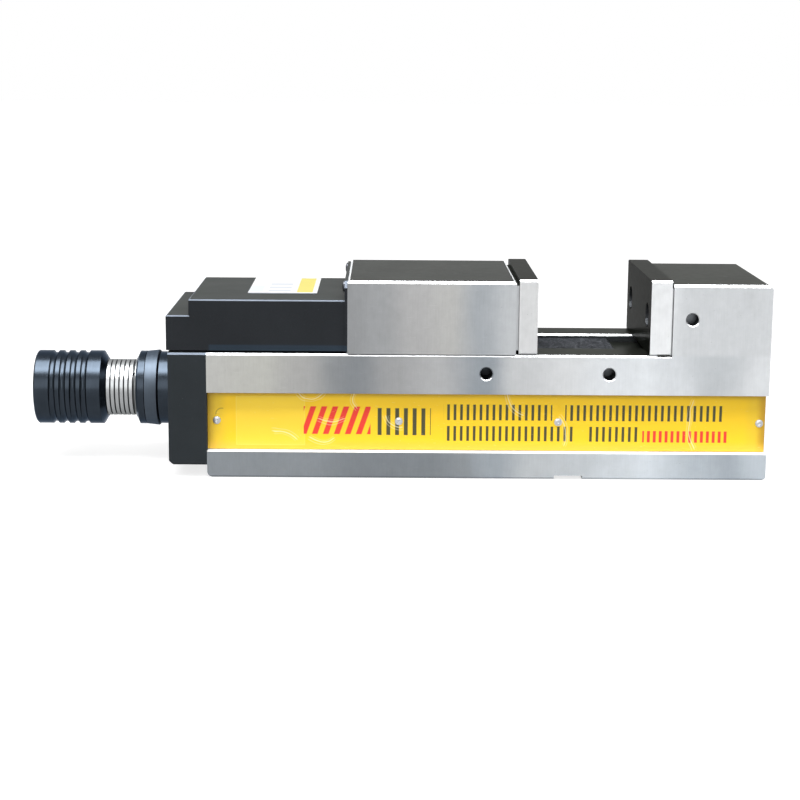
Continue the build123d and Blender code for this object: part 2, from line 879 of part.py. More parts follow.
def spindle_wiper():
    """Return the wiper ring in the bearing cap's lip."""
    inner = journal_radius + loose_clearance / 2
    return sleeve(cap_tail_x + index_ring_gap, cap_tail_x + cap_lip, inner, cap_lip_radius)


def radial_bush():
    """Return the bronze bush that carries the booster housing."""
    inner = journal_radius + running_fit
    return sleeve(bush_tail_x, bearing_tail_x, inner, bush_radius)


def thrust_washers():
    """Return the two hardened washers of the thrust bearing."""
    inner = journal_radius + loose_clearance
    rear = sleeve(bearing_tail_x, bearing_tail_x + thrust_washer, inner, bearing_radius)
    front = sleeve(shoulder_tail_x - thrust_washer, shoulder_tail_x, inner, bearing_radius)
    return Compound(children=[rear, front])


def thrust_rollers():
    """Return the radial rollers between the thrust washers."""
    x = (bearing_tail_x + shoulder_tail_x) / 2
    roller = Pos(0, 0, roller_circle) * Cylinder(roller_radius, roller_length)
    rollers = []
    for i in range(roller_count):
        angle = i * 360 / roller_count
        rollers.append(Pos(x, 0, spindle_z) * Rot(angle, 0, 0) * roller)
    return Compound(children=rollers)


def thrust_cage():
    """Return the thin cage that spaces the rollers."""
    x = (bearing_tail_x + shoulder_tail_x) / 2
    half = cage_thickness / 2
    outer = bearing_radius - loose_clearance
    inner = journal_radius + 2 * loose_clearance
    cage = sleeve(x - half, x + half, inner, outer)
    wide = 2 * (roller_radius + cage_clearance)
    tall = roller_length + 2 * cage_clearance
    window = Pos(0, 0, roller_circle) * Box(2 * cage_thickness, wide, tall)
    for i in range(roller_count):
        angle = i * 360 / roller_count
        cage -= Pos(x, 0, spindle_z) * Rot(angle, 0, 0) * window
    return cage


def housing_outline():
    """Return the booster housing's (x, radius) corners, from its rings to its bores."""
    corners = [(housing_tail_x, housing_radius - ring_bevel), (housing_tail_x + ring_bevel, housing_radius)]
    first = collar_tail_x - ring_land - (ring_count - 1) * ring_pitch
    for i in range(ring_count):
        x = first + i * ring_pitch
        corners.append((x - ring_width / 2, housing_radius))
        corners.append((x, housing_radius - ring_depth))
        corners.append((x + ring_width / 2, housing_radius))
    corners += [
        (collar_tail_x - bead_length, housing_radius),
        (collar_tail_x - bead_land, bead_radius),
        (collar_tail_x, bead_radius),
        (collar_tail_x, journal_radius),
        (shoulder_tail_x, journal_radius),
        (shoulder_tail_x, shoulder_radius),
        (shoulder_nose_x, shoulder_radius),
        (shoulder_nose_x, ram_bore_radius),
        (plunger_bore_nose_x, ram_bore_radius),
        (plunger_bore_nose_x, plunger_bore_radius),
        (spring_nose_x, plunger_bore_radius),
        (spring_nose_x, clutch_bore_radius),
        (housing_tail_x, clutch_bore_radius),
    ]
    return corners


def booster_housing():
    """Return the hollow ringed shaft that holds the hydraulic booster."""
    housing = turned(housing_outline())
    circlip_tail = input_tail_x - circlip_width - screw_clearance
    groove_radius = clutch_bore_radius + circlip_depth + screw_clearance
    housing -= bar(circlip_tail, input_tail_x, groove_radius)
    key_half = key_width / 2 + screw_clearance
    keyway_tail = shoulder_nose_x - key_setback - key_length - key_stroke
    keyway_top = spindle_z + ram_radius - key_depth + key_height + screw_clearance
    housing -= slab(keyway_tail, shoulder_nose_x, -key_half, key_half, spindle_z, keyway_top)
    drill = Cylinder(spanner_hole_radius, 2 * spanner_hole_depth)
    hole_x = collar_tail_x - spanner_hole_setback
    spot = Pos(hole_x, 0, spindle_z) * Rot(90 - spanner_hole_angle, 0, 0)
    return housing - spot * Pos(0, 0, housing_radius) * drill


def index_ring():
    """Return the matt conical band between the bearing cap and the lock collar."""
    inner = journal_radius + screw_clearance
    profile = [
        (index_tail_x, inner),
        (index_nose_x, inner),
        (index_nose_x, index_ring_radius + index_ring_flare - ring_bevel),
        (index_nose_x - ring_bevel, index_ring_radius + index_ring_flare),
        (index_tail_x, index_ring_radius),
    ]
    return turned(profile)


def lock_collar():
    """Return the black collar that locks the housing's end play."""
    inner = journal_radius + screw_clearance
    cone_x = collar_tail_x + collar_cone_length
    profile = [
        (collar_tail_x, inner),
        (index_tail_x, inner),
        (index_tail_x, collar_radius - ring_bevel),
        (index_tail_x - ring_bevel, collar_radius),
        (cone_x, collar_radius),
        (collar_tail_x, collar_cone_radius),
    ]
    return turned(profile)


def grip_sleeve():
    """Return the grooved grip that slides over the housing's rings."""
    inner = housing_radius + loose_clearance
    profile = [
        (grip_tail_x, inner),
        (grip_nose_x, inner),
        (grip_nose_x, grip_nose_radius),
        (grip_nose_x - grip_nose_length, grip_radius),
        (grip_tail_x + grip_edge, grip_radius),
        (grip_tail_x, grip_radius - grip_edge),
    ]
    grip = turned(profile)
    depth = grip_groove_depth
    cutter_radius = (grip_groove_half_width**2 + depth**2) / (2 * depth)
    cutter_circle = grip_radius - depth + cutter_radius
    groove = Rot(0, 90, 0) * Torus(cutter_circle, cutter_radius)
    for i in range(grip_groove_count):
        x = grip_nose_x - grip_groove_first - i * grip_groove_pitch
        grip -= Pos(x, 0, spindle_z) * groove
    ring_nose = grip_nose_x - grip_ring_setback
    recess_radius = housing_radius + running_fit + grip_ring_wall
    return grip - bar(ring_nose - grip_ring_width, ring_nose, recess_radius)


def grip_ring():
    """Return the friction ring inside the grip, which holds it where it is set."""
    ring_nose = grip_nose_x - grip_ring_setback
    inner = housing_radius + running_fit
    return sleeve(ring_nose - grip_ring_width, ring_nose, inner, inner + grip_ring_wall)


def input_shaft():
    """Return the crank's drive shaft, with a hexagon socket and a threaded bore."""
    bore = tail_radius + running_fit
    shaft = sleeve(input_tail_x, input_nose_x, bore, input_radius)
    socket = hexagon_bar(hex_across_flats, hex_depth)
    return shaft - Pos(input_tail_x, 0, spindle_z) * Rot(0, 90, 0) * socket


def input_circlip():
    """Return the spring ring that keeps the input shaft in the housing."""
    inner = clutch_bore_radius - circlip_rib
    outer = clutch_bore_radius + circlip_depth
    ring = sleeve(input_tail_x - circlip_width, input_tail_x, inner, outer)
    half_gap = circlip_gap / 2
    tail_x = input_tail_x - circlip_width - overcut
    nose_x = input_tail_x + overcut
    return ring - slab(tail_x, nose_x, -half_gap, half_gap, spindle_z - outer - overcut, spindle_z)


def clutch_springs():
    """Return the disc springs that press the input shaft against its ring."""
    pitch = spring_stack / spring_count
    outer = input_radius - loose_clearance
    springs = []
    for i in range(spring_count):
        x = input_nose_x + i * pitch
        inner_x = x if i % 2 == 0 else x + spring_cone
        outer_x = x + spring_cone if i % 2 == 0 else x
        corners = [
            (inner_x, spring_inner_radius),
            (inner_x + spring_sheet, spring_inner_radius),
            (outer_x + spring_sheet, outer),
            (outer_x, outer),
        ]
        springs.append(turned(corners))
    return Compound(children=springs)


def primary_piston():
    """Return the plunger that the input shaft screws forward into the oil."""
    groove_x = plunger_nose_x - seal_setback
    groove_radius = plunger_radius - seal_depth
    profile = [
        (tail_end_x, 0.0),
        (tail_end_x, tail_radius),
        (plunger_tail_x, tail_radius),
        (plunger_tail_x, plunger_radius),
        (groove_x - seal_width, plunger_radius),
        (groove_x - seal_width, groove_radius),
        (groove_x, groove_radius),
        (groove_x, plunger_radius),
        (plunger_nose_x, plunger_radius),
        (plunger_nose_x, 0.0),
    ]
    return turned(profile)


def piston_seal():
    """Return the seal ring on the primary piston."""
    groove_x = plunger_nose_x - seal_setback
    return sleeve(groove_x - seal_width, groove_x, plunger_radius - seal_depth, plunger_radius)


def spindle_screw():
    """Return the drive screw, whose tail is the booster's large ram."""
    corners = [(ram_tail_x, 0.0), (ram_tail_x, ram_radius)]
    for setback in ram_seal_setbacks:
        x = ram_tail_x + setback
        corners += [
            (x, ram_radius),
            (x, ram_radius - ram_seal_depth),
            (x + ram_seal_width, ram_radius - ram_seal_depth),
            (x + ram_seal_width, ram_radius),
        ]
    corners += [
        (ram_nose_x, ram_radius),
        (ram_nose_x, spindle_radius),
        (spindle_end_x - spindle_end_chamfer, spindle_radius),
        (spindle_end_x, spindle_radius - spindle_end_chamfer),
        (spindle_end_x, 0.0),
    ]
    return turned(corners) - drive_key()


def ram_seals():
    """Return the two seal rings on the ram."""
    rings = []
    for setback in ram_seal_setbacks:
        x = ram_tail_x + setback
        rings.append(sleeve(x, x + ram_seal_width, ram_radius - ram_seal_depth, ram_radius))
    return Compound(children=rings)


def drive_key():
    """Return the key that makes the screw turn with the housing."""
    nose = ram_nose_x - key_setback
    half = key_width / 2
    low = spindle_z + ram_radius - key_depth
    return slab(nose - key_length, nose, -half, half, low, low + key_height)


def build_parts():
    """Return every node's solid by name."""
    return {
        "vise_body": vise_body(),
        "fixed_jaw_plate": jaw_plate(0.0, fixed_plate_back_x, bed_height, 0.0, 1),
        "fixed_jaw_plate_screws": jaw_plate_screws(0.0, 1, fixed_seat_height, fixed_plate_thickness),
        "side_plate_front": side_plate(-1),
        "side_plate_back": side_plate(1),
        "side_plate_screws": side_plate_screws(),
        "bearing_flange": bearing_flange(),
        "flange_screws": flange_screws(),
        "bearing_cap": bearing_cap(),
        "spindle_wiper": spindle_wiper(),
        "radial_bush": radial_bush(),
        "thrust_washers": thrust_washers(),
        "thrust_rollers": thrust_rollers(),
        "thrust_cage": thrust_cage(),
        "movable_jaw": movable_jaw(),
        "movable_jaw_plate": jaw_plate(
            movable_plate_back_x, movable_face_x, bed_height + movable_plate_lift, movable_face_x, -1
        ),
        "movable_jaw_plate_screws": jaw_plate_screws(
            movable_face_x, -1, movable_seat_height, movable_plate_thickness
        ),
        "drive_nut": drive_nut(),
        "pull_down_segment": segment_ball(segment_radius),
        "nut_retaining_screw": retaining_screw(),
        "slot_guard": slot_guard(),
        "guard_screws": guard_screws(),
        "chip_cover": chip_cover(),
        "cover_screws": cover_screws(),
        "cover_label": cover_label(),
        "booster_housing": booster_housing(),
        "index_ring": index_ring(),
        "lock_collar": lock_collar(),
        "input_circlip": input_circlip(),
        "clutch_springs": clutch_springs(),
        "input_shaft": input_shaft(),
        "primary_piston": primary_piston(),
        "piston_seal": piston_seal(),
        "spindle_screw": spindle_screw(),
        "ram_seals": ram_seals(),
        "drive_key": drive_key(),
        "grip_sleeve": grip_sleeve(),
        "grip_ring": grip_ring(),
    }


os.makedirs("parts", exist_ok=True)
for name, shape in build_parts().items():
    export_step(shape, "parts/" + name + ".step")
ram_share = (plunger_radius / ram_radius) ** 2
print("ram travel for each millimetre of plunger travel:", round(ram_share, 6))
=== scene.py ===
import json
import math

import bmesh
import bpy
from mathutils import Matrix, Vector


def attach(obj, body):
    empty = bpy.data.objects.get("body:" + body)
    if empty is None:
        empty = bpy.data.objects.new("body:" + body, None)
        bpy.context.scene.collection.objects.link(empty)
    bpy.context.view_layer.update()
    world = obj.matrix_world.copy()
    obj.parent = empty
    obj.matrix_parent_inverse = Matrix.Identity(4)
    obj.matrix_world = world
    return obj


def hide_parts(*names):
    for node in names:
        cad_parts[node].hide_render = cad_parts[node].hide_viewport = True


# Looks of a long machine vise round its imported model, in metres.
# +X runs from the grip to the fixed jaw, +Y to the back side, +Z up.

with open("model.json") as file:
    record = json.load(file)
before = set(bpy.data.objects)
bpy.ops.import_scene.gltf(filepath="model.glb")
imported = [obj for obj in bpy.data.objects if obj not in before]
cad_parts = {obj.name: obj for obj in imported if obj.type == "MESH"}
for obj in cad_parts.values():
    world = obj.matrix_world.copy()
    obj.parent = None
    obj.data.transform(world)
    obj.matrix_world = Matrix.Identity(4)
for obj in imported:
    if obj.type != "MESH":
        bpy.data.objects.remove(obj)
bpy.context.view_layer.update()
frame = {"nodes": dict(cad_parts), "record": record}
nodes = frame["nodes"]

MM = 0.001

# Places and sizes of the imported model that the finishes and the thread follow.
COVER_REFLECTION_X = -310.0 * MM
SPINDLE_Z = 52.5 * MM
BED_TOP = 89.0 * MM
GROOVE_MIDDLE_Z = 40.0 * MM
LEDGE_LOW = 28.0 * MM
LEDGE_HIGH = 32.0 * MM
STOP_HOLE_RADIUS = 4.25 * MM
STOP_HOLE_PITCH = 1.5 * MM
HOUSING_RING_RADIUS = 20.35 * MM
SPINDLE_LEAD = 6.0 * MM

# Distances under which two corners are one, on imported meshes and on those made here.
CAD_WELD = 0.001 * MM
MADE_WELD = 0.0005 * MM

# A metal's colour as a share of the grey that it shows under these lamps.
METAL_SHARE = 0.675

# Half the height over which one row of side tones passes into the next.
ROW_BLEND = 2 * MM

# Grinding arcs: how far below the base their centre lies, and how close together they are.
ARC_CENTRE_DEPTH = 0.35
ARC_RATE = 2600.0

# The thread cutter's reach past the bar, as a share of the thread's depth.
OVERCUT = 1.3

# Edges that turn more than this stay sharp on the screws.
SHARP_ANGLE = math.radians(30.0)

# Painted shade, painted highlights on chamfers and on the ledge, and the colours of scratches and
# pits.
PAINTED_SHADE = (0.06, 0.065, 0.07, 1.0)
CHAMFER_HIGHLIGHT = (0.50, 0.51, 0.52, 1.0)
LEDGE_HIGHLIGHT = (0.70, 0.71, 0.72, 1.0)
SCRATCH = (0.80, 0.81, 0.83, 1.0)
PIT = (0.10, 0.10, 0.11, 1.0)


def from_screen(red, green, blue):
    """Return the scene-linear colour of a screen colour from 0 to 255."""
    linear = []
    for value in (red, green, blue):
        share = value / 255
        linear.append(share / 12.92 if share <= 0.04045 else ((share + 0.055) / 1.055) ** 2.4)
    return (*linear, 1.0)


class Finish:
    """A material under construction, with short names for the nodes that it needs."""

    def __init__(self, name, roughness=0.5, metallic=0.0, **constants):
        self.material = bpy.data.materials.new(name)
        self.material.use_nodes = True
        self.tree = self.material.node_tree
        self.shader = self.tree.nodes["Principled BSDF"]
        self.shader.inputs["Roughness"].default_value = roughness
        self.shader.inputs["Metallic"].default_value = metallic
        for key, value in constants.items():
            self.shader.inputs[key.replace("_", " ")].default_value = value
        source = self.tree.nodes.new("ShaderNodeTexCoord")
        self.place = source.outputs["Object"]
        self.facing = source.outputs["Normal"]

    def put(self, socket, value):
        """Link a socket to another, or set its value."""
        if isinstance(value, bpy.types.NodeSocket):
            self.tree.links.new(value, socket)
        else:
            socket.default_value = value

    def node(self, kind, inputs=(), **settings):
        """Add a node with its settings and its inputs by name or number."""
        made = self.tree.nodes.new("ShaderNode" + kind)
        for key, value in settings.items():
            setattr(made, key, value)
        for key, value in dict(inputs).items():
            self.put(made.inputs[key], value)
        return made

    def math(self, operation, *values):
        """Return a math node's result."""
        return self.node("Math", dict(enumerate(values)), operation=operation).outputs[0]

    def axes(self, vector):
        """Return the x, y and z sockets of a vector."""
        return self.node("SeparateXYZ", {0: vector}).outputs

    def distance(self, across, up):
        """Return the length of a line from its two shares at right angles."""
        square = self.math("ADD", self.math("POWER", across, 2.0), self.math("POWER", up, 2.0))
        return self.math("SQRT", square)

    def step(self, value, low, high):
        """Return a soft step from 0 at low to 1 at high."""
        inputs = {"Value": value, "From Min": low, "From Max": high}
        return self.node("MapRange", inputs, interpolation_type="SMOOTHSTEP").outputs["Result"]

    def between(self, value, low, high, soft):
        """Return 1 where a value lies between two limits, with soft ends."""
        rise = self.step(value, low - soft, low + soft)
        fall = self.step(value, high + soft, high - soft)
        return self.math("MULTIPLY", rise, fall)

    def level(self, value, low, high):
        """Return a value from 0 to 1 spread between two levels."""
        inputs = {"Value": value, "To Min": low, "To Max": high}
        return self.node("MapRange", inputs).outputs["Result"]

    def spread(self, stretch=(1, 1, 1), shift=(0, 0, 0), turn=(0, 0, 0)):
        """Return the object's coordinates, stretched, shifted and turned."""
        inputs = {"Vector": self.place, "Scale": stretch, "Location": shift, "Rotation": turn}
        return self.node("Mapping", inputs).outputs["Vector"]

    def noise(self, scale, detail=3.0, roughness=0.5, vector=None, distortion=0.0):
        """Return a noise value round 0.5."""
        inputs = {
            "Vector": vector or self.place,
            "Scale": scale,
            "Detail": detail,
            "Roughness": roughness,
            "Distortion": distortion,
        }
        return self.node("TexNoise", inputs).outputs["Fac"]

    def streaks(self, rates, detail=2.0, roughness=0.5, turn=(0, 0, 0)):
        """Return a noise drawn out along the axis with the lowest of three rates."""
        return self.noise(1.0, detail, roughness, self.spread(rates, turn=turn))

    def mix(self, amount, first, second):
        """Return a colour between two, through the mix node's colour sockets 6 and 7."""
        return self.node("Mix", {0: amount, 6: first, 7: second}, data_type="RGBA").outputs[2]

    def over(self, under, mask, colour, share):
        """Return a colour with a share of another laid over it where a mask is 1."""
        return self.mix(self.math("MULTIPLY", mask, share), under, colour)

    def shade(self, colour, amount):
        """Return a colour made darker or lighter by a factor."""
        base = colour if isinstance(colour, bpy.types.NodeSocket) else colour[:3]
        return self.node("VectorMath", {0: base, "Scale": amount}, operation="SCALE").outputs[0]

    def tones(self, value, stops):
        """Return the colour that changes smoothly through (value in mm, colour) stops."""
        low, high = stops[0][0], stops[-1][0]
        inputs = {"Value": value, "From Min": low * MM, "From Max": high * MM}
        share = self.node("MapRange", inputs).outputs["Result"]
        made = self.node("ValToRGB", {"Fac": share})
        ramp = made.color_ramp
        ramp.interpolation = "EASE"
        for place, colour in stops[1:-1]:
            ramp.elements.new((place - low) / (high - low)).color = colour
        ramp.elements[0].color = stops[0][1]
        ramp.elements[-1].color = stops[-1][1]
        return made.outputs["Color"]

    def field(self, x, z, left, right, low, high, soft=0.12 * MM):
        """Return 1 inside a rectangle given in mm, with soft edges."""
        across = self.between(x, left * MM, right * MM, soft)
        up = self.between(z, low * MM, high * MM, soft)
        return self.math("MULTIPLY", across, up)

    def hatch(self, x, z, pitch, duty, slant):
        """Return slanted strokes of one pitch in mm, each a share of the pitch wide."""
        run = self.math("SUBTRACT", x, self.math("MULTIPLY", z, slant))
        phase = self.math("FRACT", self.math("DIVIDE", run, pitch * MM))
        return self.between(phase, 0.5 - duty / 2, 0.5 + duty / 2, 0.05)

    def arc(self, x, z, centre, radius, middle, half_angle, width):
        """Return 1 on a thin arc: centre, radius and width in mm, angles in degrees."""
        across = self.math("SUBTRACT", x, centre[0] * MM)
        up = self.math("SUBTRACT", z, centre[1] * MM)
        miss = self.math("ABSOLUTE", self.math("SUBTRACT", self.distance(across, up), radius * MM))
        line = self.step(miss, width * MM, 0.3 * width * MM)
        turn = math.radians(middle)
        along = self.math(
            "ADD",
            self.math("MULTIPLY", across, math.cos(turn)),
            self.math("MULTIPLY", up, math.sin(turn)),
        )
        reach = radius * MM
        cut = reach * math.cos(math.radians(half_angle))
        return self.math("MULTIPLY", line, self.step(along, cut, cut + 0.25 * (reach - cut)))

    def relief(self, height, distance, strength=1.0):
        """Give the surface a bump."""
        inputs = {"Height": height, "Distance": distance, "Strength": strength}
        self.put(self.shader.inputs["Normal"], self.node("Bump", inputs).outputs["Normal"])

    def colour(self, value):
        """Set the surface's colour and return the material."""
        self.put(self.shader.inputs["Base Color"], value)
        return self.material

    def rough(self, value):
        """Set the surface's roughness."""
        self.put(self.shader.inputs["Roughness"], value)


def high_z(node):
    """Return the height of a node's top."""
    return max(corner.co.z for corner in nodes[node].data.vertices)


def steel(grey, cast):
    """Return the colour of ground steel from its screen grey; a positive cast is blue."""
    red, blue = (grey - cast, grey + 0.9 * cast) if cast > 0 else (grey, grey + 1.8 * cast)
    red, green, blue, alpha = from_screen(red, grey, blue)
    return (red * METAL_SHARE, green * METAL_SHARE, blue * METAL_SHARE, alpha)


def sides_with_painted_sheen(paint, x, z, rows, drift):
    """Return the side faces' tones along X, row above row: own blotches and painted reflections.
    """
    shift = paint.noise(17.0, 2.0, 0.5, paint.spread((1.0, 1.0, 0.6)))
    along = paint.math("ADD", x, paint.level(shift, -drift, drift))
    side = None
    for foot, stops in rows:
        row = paint.tones(along, [(place, steel(grey, cast)) for place, grey, cast in stops])
        if side is None:
            side = row
        else:
            side = paint.mix(paint.step(z, foot - ROW_BLEND, foot + ROW_BLEND), side, row)
    return side


def grinding_arcs(paint, y, z):
    """Return the faint arcs that a cup wheel leaves, as a factor round 1."""
    reach = paint.distance(y, paint.math("ADD", z, ARC_CENTRE_DEPTH))
    sweep = paint.math("SINE", paint.math("MULTIPLY", reach, ARC_RATE))
    inputs = {"Value": sweep, "From Min": -1.0, "To Min": 0.86, "To Max": 1.14}
    return paint.node("MapRange", inputs).outputs["Result"]


def ground_metal(name, rows, top, clamping, drift, inner, tint=0.28, arcs=False):
    """Return a finish of ground iron or steel, and the colour that it has so far.

    Each row of side tones has its foot and its (x in mm, screen grey, cast) stops, and the tones
    wander along X by up to the drift; the tones are partly the metal's own blotches and partly
    painted reflections of the room. Faces that look up take the top colour, a painted dark
    reflection, and chamfers and the ledge over the lower lip take painted highlights. Faces that
    look down, and sides nearer the middle plane than the first value of inner and lower than its
    second, take painted shade.
    """
    paint = Finish(name, metallic=1.0, Specular_Tint=(tint, tint, tint, 1.0))
    x, y, z = paint.axes(paint.place)
    facing_x, _, facing_z = paint.axes(paint.facing)
    end_on = paint.math("ABSOLUTE", facing_x)

    mottle = paint.noise(190.0, 5.0, 0.62)
    grain = paint.streaks((1500.0, 1500.0, 70.0))
    cloud = paint.noise(31.0, 3.0, 0.5, paint.spread((1.0, 1.0, 0.5)))
    tone = paint.math("MULTIPLY", paint.level(mottle, 0.91, 1.09), paint.level(grain, 0.94, 1.06))
    tone = paint.math("MULTIPLY", tone, paint.level(cloud, 0.94, 1.06))
    side = paint.shade(sides_with_painted_sheen(paint, x, z, rows, drift), tone)

    # Painted dark reflection on faces that look up, varied by random blots and wipes.
    blots = paint.noise(38.0, 4.0, 0.6, paint.spread((1.0, 0.5, 1.0)))
    wiped = paint.streaks((60.0, 900.0, 900.0))
    tone = paint.math("MULTIPLY", paint.level(blots, 0.70, 1.30), paint.level(wiped, 0.88, 1.12))
    top_painted_dark = paint.shade(top, tone)

    end = paint.shade(clamping, paint.level(mottle, 0.75, 1.25))
    if arcs:
        end = paint.shade(end, grinding_arcs(paint, y, z))

    rise = paint.step(facing_z, 0.25, 0.5)
    chamfer = paint.math("MULTIPLY", rise, paint.step(facing_z, 0.93, 0.86))
    low_down = paint.step(z, LEDGE_HIGH, LEDGE_LOW)
    ledge = paint.math("MULTIPLY", paint.step(facing_z, 0.5, 0.9), low_down)
    # Painted shade on sides within the inner width and below its height.
    half_width, height = inner
    inner_shade = paint.step(paint.math("ABSOLUTE", y), half_width, half_width - 1.0 * MM)
    inner_shade = paint.math("MULTIPLY", inner_shade, paint.step(z, height, height - 0.5 * MM))
    inner_shade = paint.math("MULTIPLY", inner_shade, paint.step(end_on, 0.7, 0.5))

    result = paint.mix(paint.step(end_on, 0.8, 0.95), side, end)
    # Painted highlight on the chamfers.
    result = paint.mix(chamfer, result, CHAMFER_HIGHLIGHT)
    # Painted shade on the inner sides.
    result = paint.mix(inner_shade, result, PAINTED_SHADE)
    # Painted dark reflection on faces that look up.
    result = paint.mix(paint.step(facing_z, 0.90, 0.97), result, top_painted_dark)
    # Painted highlight on the ledge over the lower lip.
    result = paint.mix(ledge, result, LEDGE_HIGHLIGHT)
    # Painted shade on faces that look down.
    result = paint.mix(paint.step(facing_z, -0.80, -0.95), result, PAINTED_SHADE)
    lines = paint.streaks((90.0, 90.0, 2600.0), detail=1.0, turn=(0.0, 0.09, 0.2))
    result = paint.over(result, paint.step(lines, 0.73, 0.78), SCRATCH, 0.07)
    pits = paint.step(paint.noise(900.0, 2.0, 0.5), 0.735, 0.79)
    result = paint.over(result, pits, PIT, 0.40)

    matt_chamfer = paint.math("MULTIPLY", chamfer, 0.62)
    matt = paint.math("MAXIMUM", matt_chamfer, paint.math("MULTIPLY", ledge, 0.9))
    paint.rough(paint.math("MAXIMUM", paint.level(mottle, 0.24, 0.38), matt))
    paint.relief(grain, 0.015 * MM, 0.3)
    return paint, result


def bed_iron():
    """Return the casting's ground iron, with painted thread shade and highlights in front stop
    holes.
    """
    # Side greys: partly the iron's own tone, partly painted reflections of the room.
    lip = (
        (-311, 148, 6), (-235, 148, 6), (-200, 137, 6), (-165, 139, 6), (-130, 152, 6),
        (-108, 171, 8), (-87, 198, 5), (-45, 205, 6), (-24, 220, 7), (-3, 228, 8), (39, 195, 9),
        (60, 182, 9), (85, 208, 9),
    )
    upper = (
        (-311, 188, -2), (-270, 185, -3), (-240, 172, -1), (-208, 138, 4), (-179, 163, 1),
        (-155, 179, 1), (-117, 158, 7), (-86, 202, 2), (-55, 217, 2), (-24, 230, 4), (0, 234, 4),
        (22, 224, 4), (53, 202, 4), (85, 229, 3),
    )
    block = ((-311, 220, 3), (10, 235, 3), (35, 216, 3), (60, 216, 3), (85, 221, 3))
    paint, result = ground_metal(
        "bed_iron",
        rows=((0.0, lip), (GROOVE_MIDDLE_Z, upper), (BED_TOP, block)),
        top=(0.080, 0.085, 0.075, 1.0),
        clamping=(0.42, 0.43, 0.43, 1.0),
        drift=24.0 * MM,
        inner=(40.0 * MM, BED_TOP - 1.2 * MM),
    )
    x, y, z = paint.axes(paint.place)
    # Painted shade inside the front stop holes, with painted highlights on the thread's crests.
    turn = paint.math("FRACT", paint.math("DIVIDE", y, STOP_HOLE_PITCH))
    crest_highlight = paint.between(turn, 0.3, 0.7, 0.12)
    thread = paint.mix(crest_highlight, (0.03, 0.033, 0.037, 1.0), (0.16, 0.17, 0.18, 1.0))
    for mount in frame["record"]["mounts"]:
        if not mount["name"].startswith("stop_hole_front"):
            continue
        hole_x, _, hole_z = mount["pos_m"]
        across = paint.math("SUBTRACT", x, hole_x)
        radius = paint.distance(across, paint.math("SUBTRACT", z, hole_z))
        inside = paint.step(radius, STOP_HOLE_RADIUS + 0.12 * MM, STOP_HOLE_RADIUS + 0.02 * MM)
        result = paint.mix(inside, result, thread)
    return paint.colour(result)


def jaw_iron():
    """Return the sliding jaw's ground iron."""
    # Side greys: partly the iron's own tone, partly painted reflections of the room.
    block = (
        (-212, 149, 2), (-190, 160, 2), (-165, 176, 0), (-140, 184, -1), (-118, 173, 5),
        (-94, 196, 3),
    )
    paint, result = ground_metal(
        "jaw_iron",
        rows=((0.0, block),),
        top=(0.100, 0.106, 0.098, 1.0),
        clamping=(0.40, 0.40, 0.40, 1.0),
        drift=10.0 * MM,
        inner=(55.0 * MM, BED_TOP),
    )
    return paint.colour(result)


def jaw_plate_steel():
    """Return the hardened jaw plates, with faint grinding arcs on their clamping faces."""
    # Side greys: partly the steel's own tone, partly painted reflections of the room.
    plates = ((-95, 217, 1), (-70, 218, 1), (0, 241, 2), (20, 242, 2))
    plate_top = min(high_z("fixed_jaw_plate"), high_z("movable_jaw_plate"))
    paint, result = ground_metal(
        "jaw_plate_steel",
        rows=((0.0, plates),),
        top=(0.070, 0.074, 0.066, 1.0),
        clamping=(0.045, 0.050, 0.042, 1.0),
        # The clamping faces' near-black colour is a painted dark reflection.
        drift=4.0 * MM,
        inner=(58.0 * MM, plate_top - 2.0 * MM),
        tint=0.18,
        arcs=True,
    )
    return paint.colour(result)


def black_steel(name, base, roughness):
    """Return polished black-oxide steel with turning marks and faint wear."""
    paint = Finish(name, metallic=1.0, Specular_Tint=(0.55, 0.60, 0.68, 1.0))
    turning = paint.streaks((2200.0, 22.0, 22.0), roughness=0.6)
    cloud = paint.noise(70.0, 3.0, 0.55)
    tone = paint.math("MULTIPLY", paint.level(turning, 0.82, 1.18), paint.level(cloud, 0.7, 1.3))
    wear = paint.step(paint.noise(420.0, 4.0, 0.65), 0.66, 0.74)
    result = paint.over(paint.shade(base, tone), wear, (0.20, 0.21, 0.23, 1.0), 0.05)
    paint.rough(paint.level(cloud, roughness - 0.03, roughness + 0.04))
    paint.relief(turning, 0.01 * MM, 0.5)
    return paint.colour(result)


def turned_steel(name, base, dark, groove_radius=None):
    """Return bright turned steel, with painted shade below a radius round the spindle axis."""
    paint = Finish(name, metallic=1.0, Specular_Tint=(0.55, 0.56, 0.56, 1.0))
    turning = paint.streaks((3400.0, 30.0, 30.0), roughness=0.6)
    cloud = paint.noise(95.0, 3.0, 0.55)
    result = paint.shade(base, paint.level(cloud, 0.86, 1.14))
    result = paint.shade(result, paint.level(turning, 0.90, 1.10))
    if groove_radius:
        _, y, z = paint.axes(paint.place)
        radius = paint.distance(y, paint.math("SUBTRACT", z, SPINDLE_Z))
        # Painted shade in the grooves below the radius.
        oil = paint.step(radius, groove_radius, groove_radius - 0.3 * MM)
        result = paint.mix(oil, result, dark)
    paint.rough(paint.level(cloud, 0.26, 0.38))
    paint.relief(turning, 0.01 * MM, 0.5)
    return paint.colour(result)


